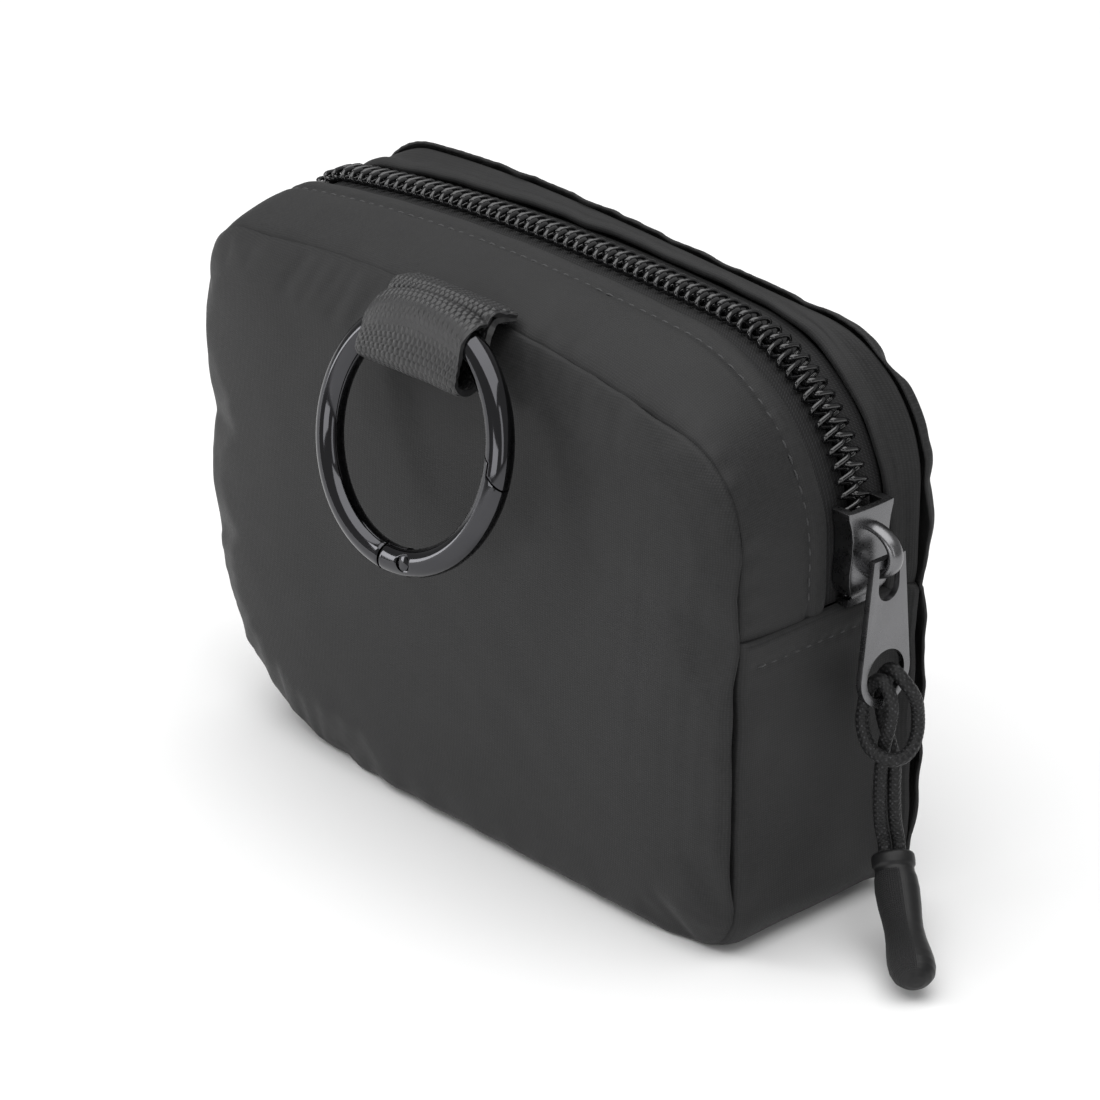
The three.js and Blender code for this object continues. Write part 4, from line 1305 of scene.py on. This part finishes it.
ring = wire_ring("ring_body_wire")
cut_by(ring, gate_region(0.28, 0.55))
bevelled(ring, 0.14, 2, 50)
hinge_tongue = wire_ring("hinge_tongue")
cut_by(hinge_tongue, pivot_disc("tongue_disc", 2.3, 0.8), "INTERSECT")
hinge_neck = wire_ring("hinge_neck")
cut_by(hinge_neck, wedge("neck", GATE_TAIL - 3, GATE_PIVOT - 2, 0.8), "INTERSECT")
joined(ring, hinge_tongue, hinge_neck)

gate = wire_ring("ring_gate_wire")
cut_by(gate, gate_region(0, 0), "INTERSECT")
cut_by(gate, pivot_disc("hinge_slot", 3.2, 1.05))
cut_by(gate, wedge("hinge_way", GATE_TAIL - 4, GATE_PIVOT, 1.05))
for facing_side in (1, -1):
    bore = cylinder_at("counterbore", (*PIVOT, facing_side * 2.9), 1.62, 1.9, "Z", 64)
    cut_by(gate, bore)
bevelled(gate, 0.14, 2, 50)

rivet = cylinder_at("gate_rivet_heads", (*PIVOT, 0), 1.3, 4.55, "Z", 64)
only(rivet)
bpy.ops.object.mode_set(mode="EDIT")
bpy.ops.mesh.select_all(action="DESELECT")
bpy.ops.object.mode_set(mode="OBJECT")
for face in rivet.data.polygons:
    face.select = abs(face.normal.z) > 0.9
for edge in rivet.data.edges:
    edge.select = False
bpy.ops.object.mode_set(mode="EDIT")
bpy.ops.mesh.select_mode(type="FACE")
bpy.ops.mesh.inset(thickness=0.42 * MM, depth=0)
bpy.ops.mesh.inset(thickness=0.1 * MM, depth=-0.3 * MM)
bpy.ops.mesh.inset(thickness=0.16 * MM, depth=0)
bpy.ops.mesh.inset(thickness=0.08 * MM, depth=0.26 * MM)
bpy.ops.object.mode_set(mode="OBJECT")
bevelled(rivet, 0.1, 2, 30)
for piece, body, name in ((ring, "ring", "ring_body"), (gate, "gate", "ring_gate"),
                          (rivet, "ring", "gate_rivet")):
    piece.data.transform(ring_place)
    edited(piece, merge(2e-6))
    smooth(piece, 40)
    dressed(piece, black_nickel, body, "black_nickel", name)

# ---------------------------------------------------------------- webbing loop
LEAN = math.radians(RING_TILT)
REACH_OUT = WEBBING_WIDTH / 2 + abs(RING_MIDDLE[0] - WEBBING_X)


def wire_height(height):
    return np.array((RING_MIDDLE[1] + height * math.sin(LEAN), RING_MIDDLE[2] + height * math.cos(LEAN)))


LOW_WIRE = wire_height(math.sqrt((RING_R - 0.9) ** 2 - REACH_OUT ** 2))
HIGH_WIRE = wire_height(RING_R)
WEB_IN = RING_WIRE + 0.55


def webbing_path():
    """The webbing's middle line in depth and height, from the seam over the wire and back."""
    up = np.array((math.sin(LEAN), math.cos(LEAN)))
    out = np.array((-up[1], up[0]))
    start = np.array((-18.6, 101.5))
    rear = np.array((-18.6, 100.5))
    over = [HIGH_WIRE + WEB_IN * (math.cos(t) * -out + math.sin(t) * up)
            for t in np.linspace(math.radians(62), math.radians(180), 10)]
    under = [LOW_WIRE + WEB_IN * (math.cos(t) * -out + math.sin(t) * up)
             for t in np.linspace(math.radians(180), math.radians(350), 12)]
    behind = [HIGH_WIRE - out * WEB_IN - up * 4.0, HIGH_WIRE - out * (WEB_IN + 0.4) + up * 0.5]
    return smooth_route([start, (-21.2, 102.5), (-24.2, 103.7), *over, *under, *behind,
                         (-23.0, 101.2), rear], 8)


web_line = webbing_path()
web_length = run_of(web_line)[-1]
web_run = np.gradient(web_line, axis=0)
web_run /= np.linalg.norm(web_run, axis=1)[:, None]
WARP = 0.604
WEFT = 1.28


def webbing_skin(a, b):
    """a goes across the webbing and b along it; its warp floats stand out of the cloth."""
    across = (a - 0.5) * WEBBING_WIDTH
    along = b * web_length
    at = at_share(web_line, b)
    run = at_share(web_run, b)
    run /= np.linalg.norm(run, axis=1)[:, None]
    out = np.c_[run[:, 1], -run[:, 0]]
    cross = np.sin(np.pi * across / WARP) * np.sin(np.pi * along / WEFT)
    knuckle = np.maximum(cross, 0) ** 0.6 - 0.35 * np.maximum(-cross, 0) ** 0.6
    height = 0.36 * knuckle + 0.05 * rumple(across, along, 5, 6, 61)
    edge = np.clip((12.7 - np.abs(across)) / 0.7, 0, 1)
    height = height * edge - 0.35 * (1 - edge)
    return across, at, out, height


def webbing_place(a, b):
    across, at, out, height = webbing_skin(a, b)
    # Drapes over the round wire: lower at the sides of the top.
    x = WEBBING_X + across
    from_top = x - RING_MIDDLE[0]
    drop = RING_R - np.sqrt(np.maximum(RING_R ** 2 - from_top ** 2, 1))
    over = bell(b - 0.30, 0.16)
    lift = -np.clip(drop, 0, 6) * over * 0.8
    waves = 0.25 * np.sin(across / 4.1 + 0.6) * bell(b - 0.42, 0.12)
    point = at + out * height[:, None]
    return np.c_[x, point[:, 0] + waves, point[:, 1] + lift]


webbing = sheet_of("webbing_loop_weave", 170, 250, webbing_place, (WEBBING_WIDTH, web_length))
modified(webbing, "SOLIDIFY", thickness=1.0 * MM, offset=0)
edited(webbing, outwards)
smooth(webbing, 60)
webbing.data.materials.append(webbing_weave)
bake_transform(webbing)
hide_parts("webbing_loop")

# ---------------------------------------------------------------- pieces kept from the CAD
KEPT = {
    foam_cells: ["front_foam", "back_foam"],
    lining_cloth: ["front_lining", "back_lining", "gusset_lining"],
    binding_weave: ["seam_binding_front", "seam_binding_back"],
    spring_steel: ["gate_spring"],
    gunmetal: ["zip_stop_right", "zip_stop_left"],
}
for material, nodes in KEPT.items():
    for node in nodes:
        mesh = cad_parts[node].data
        mesh.materials.clear()
        mesh.materials.append(material)

bpy.context.view_layer.update()
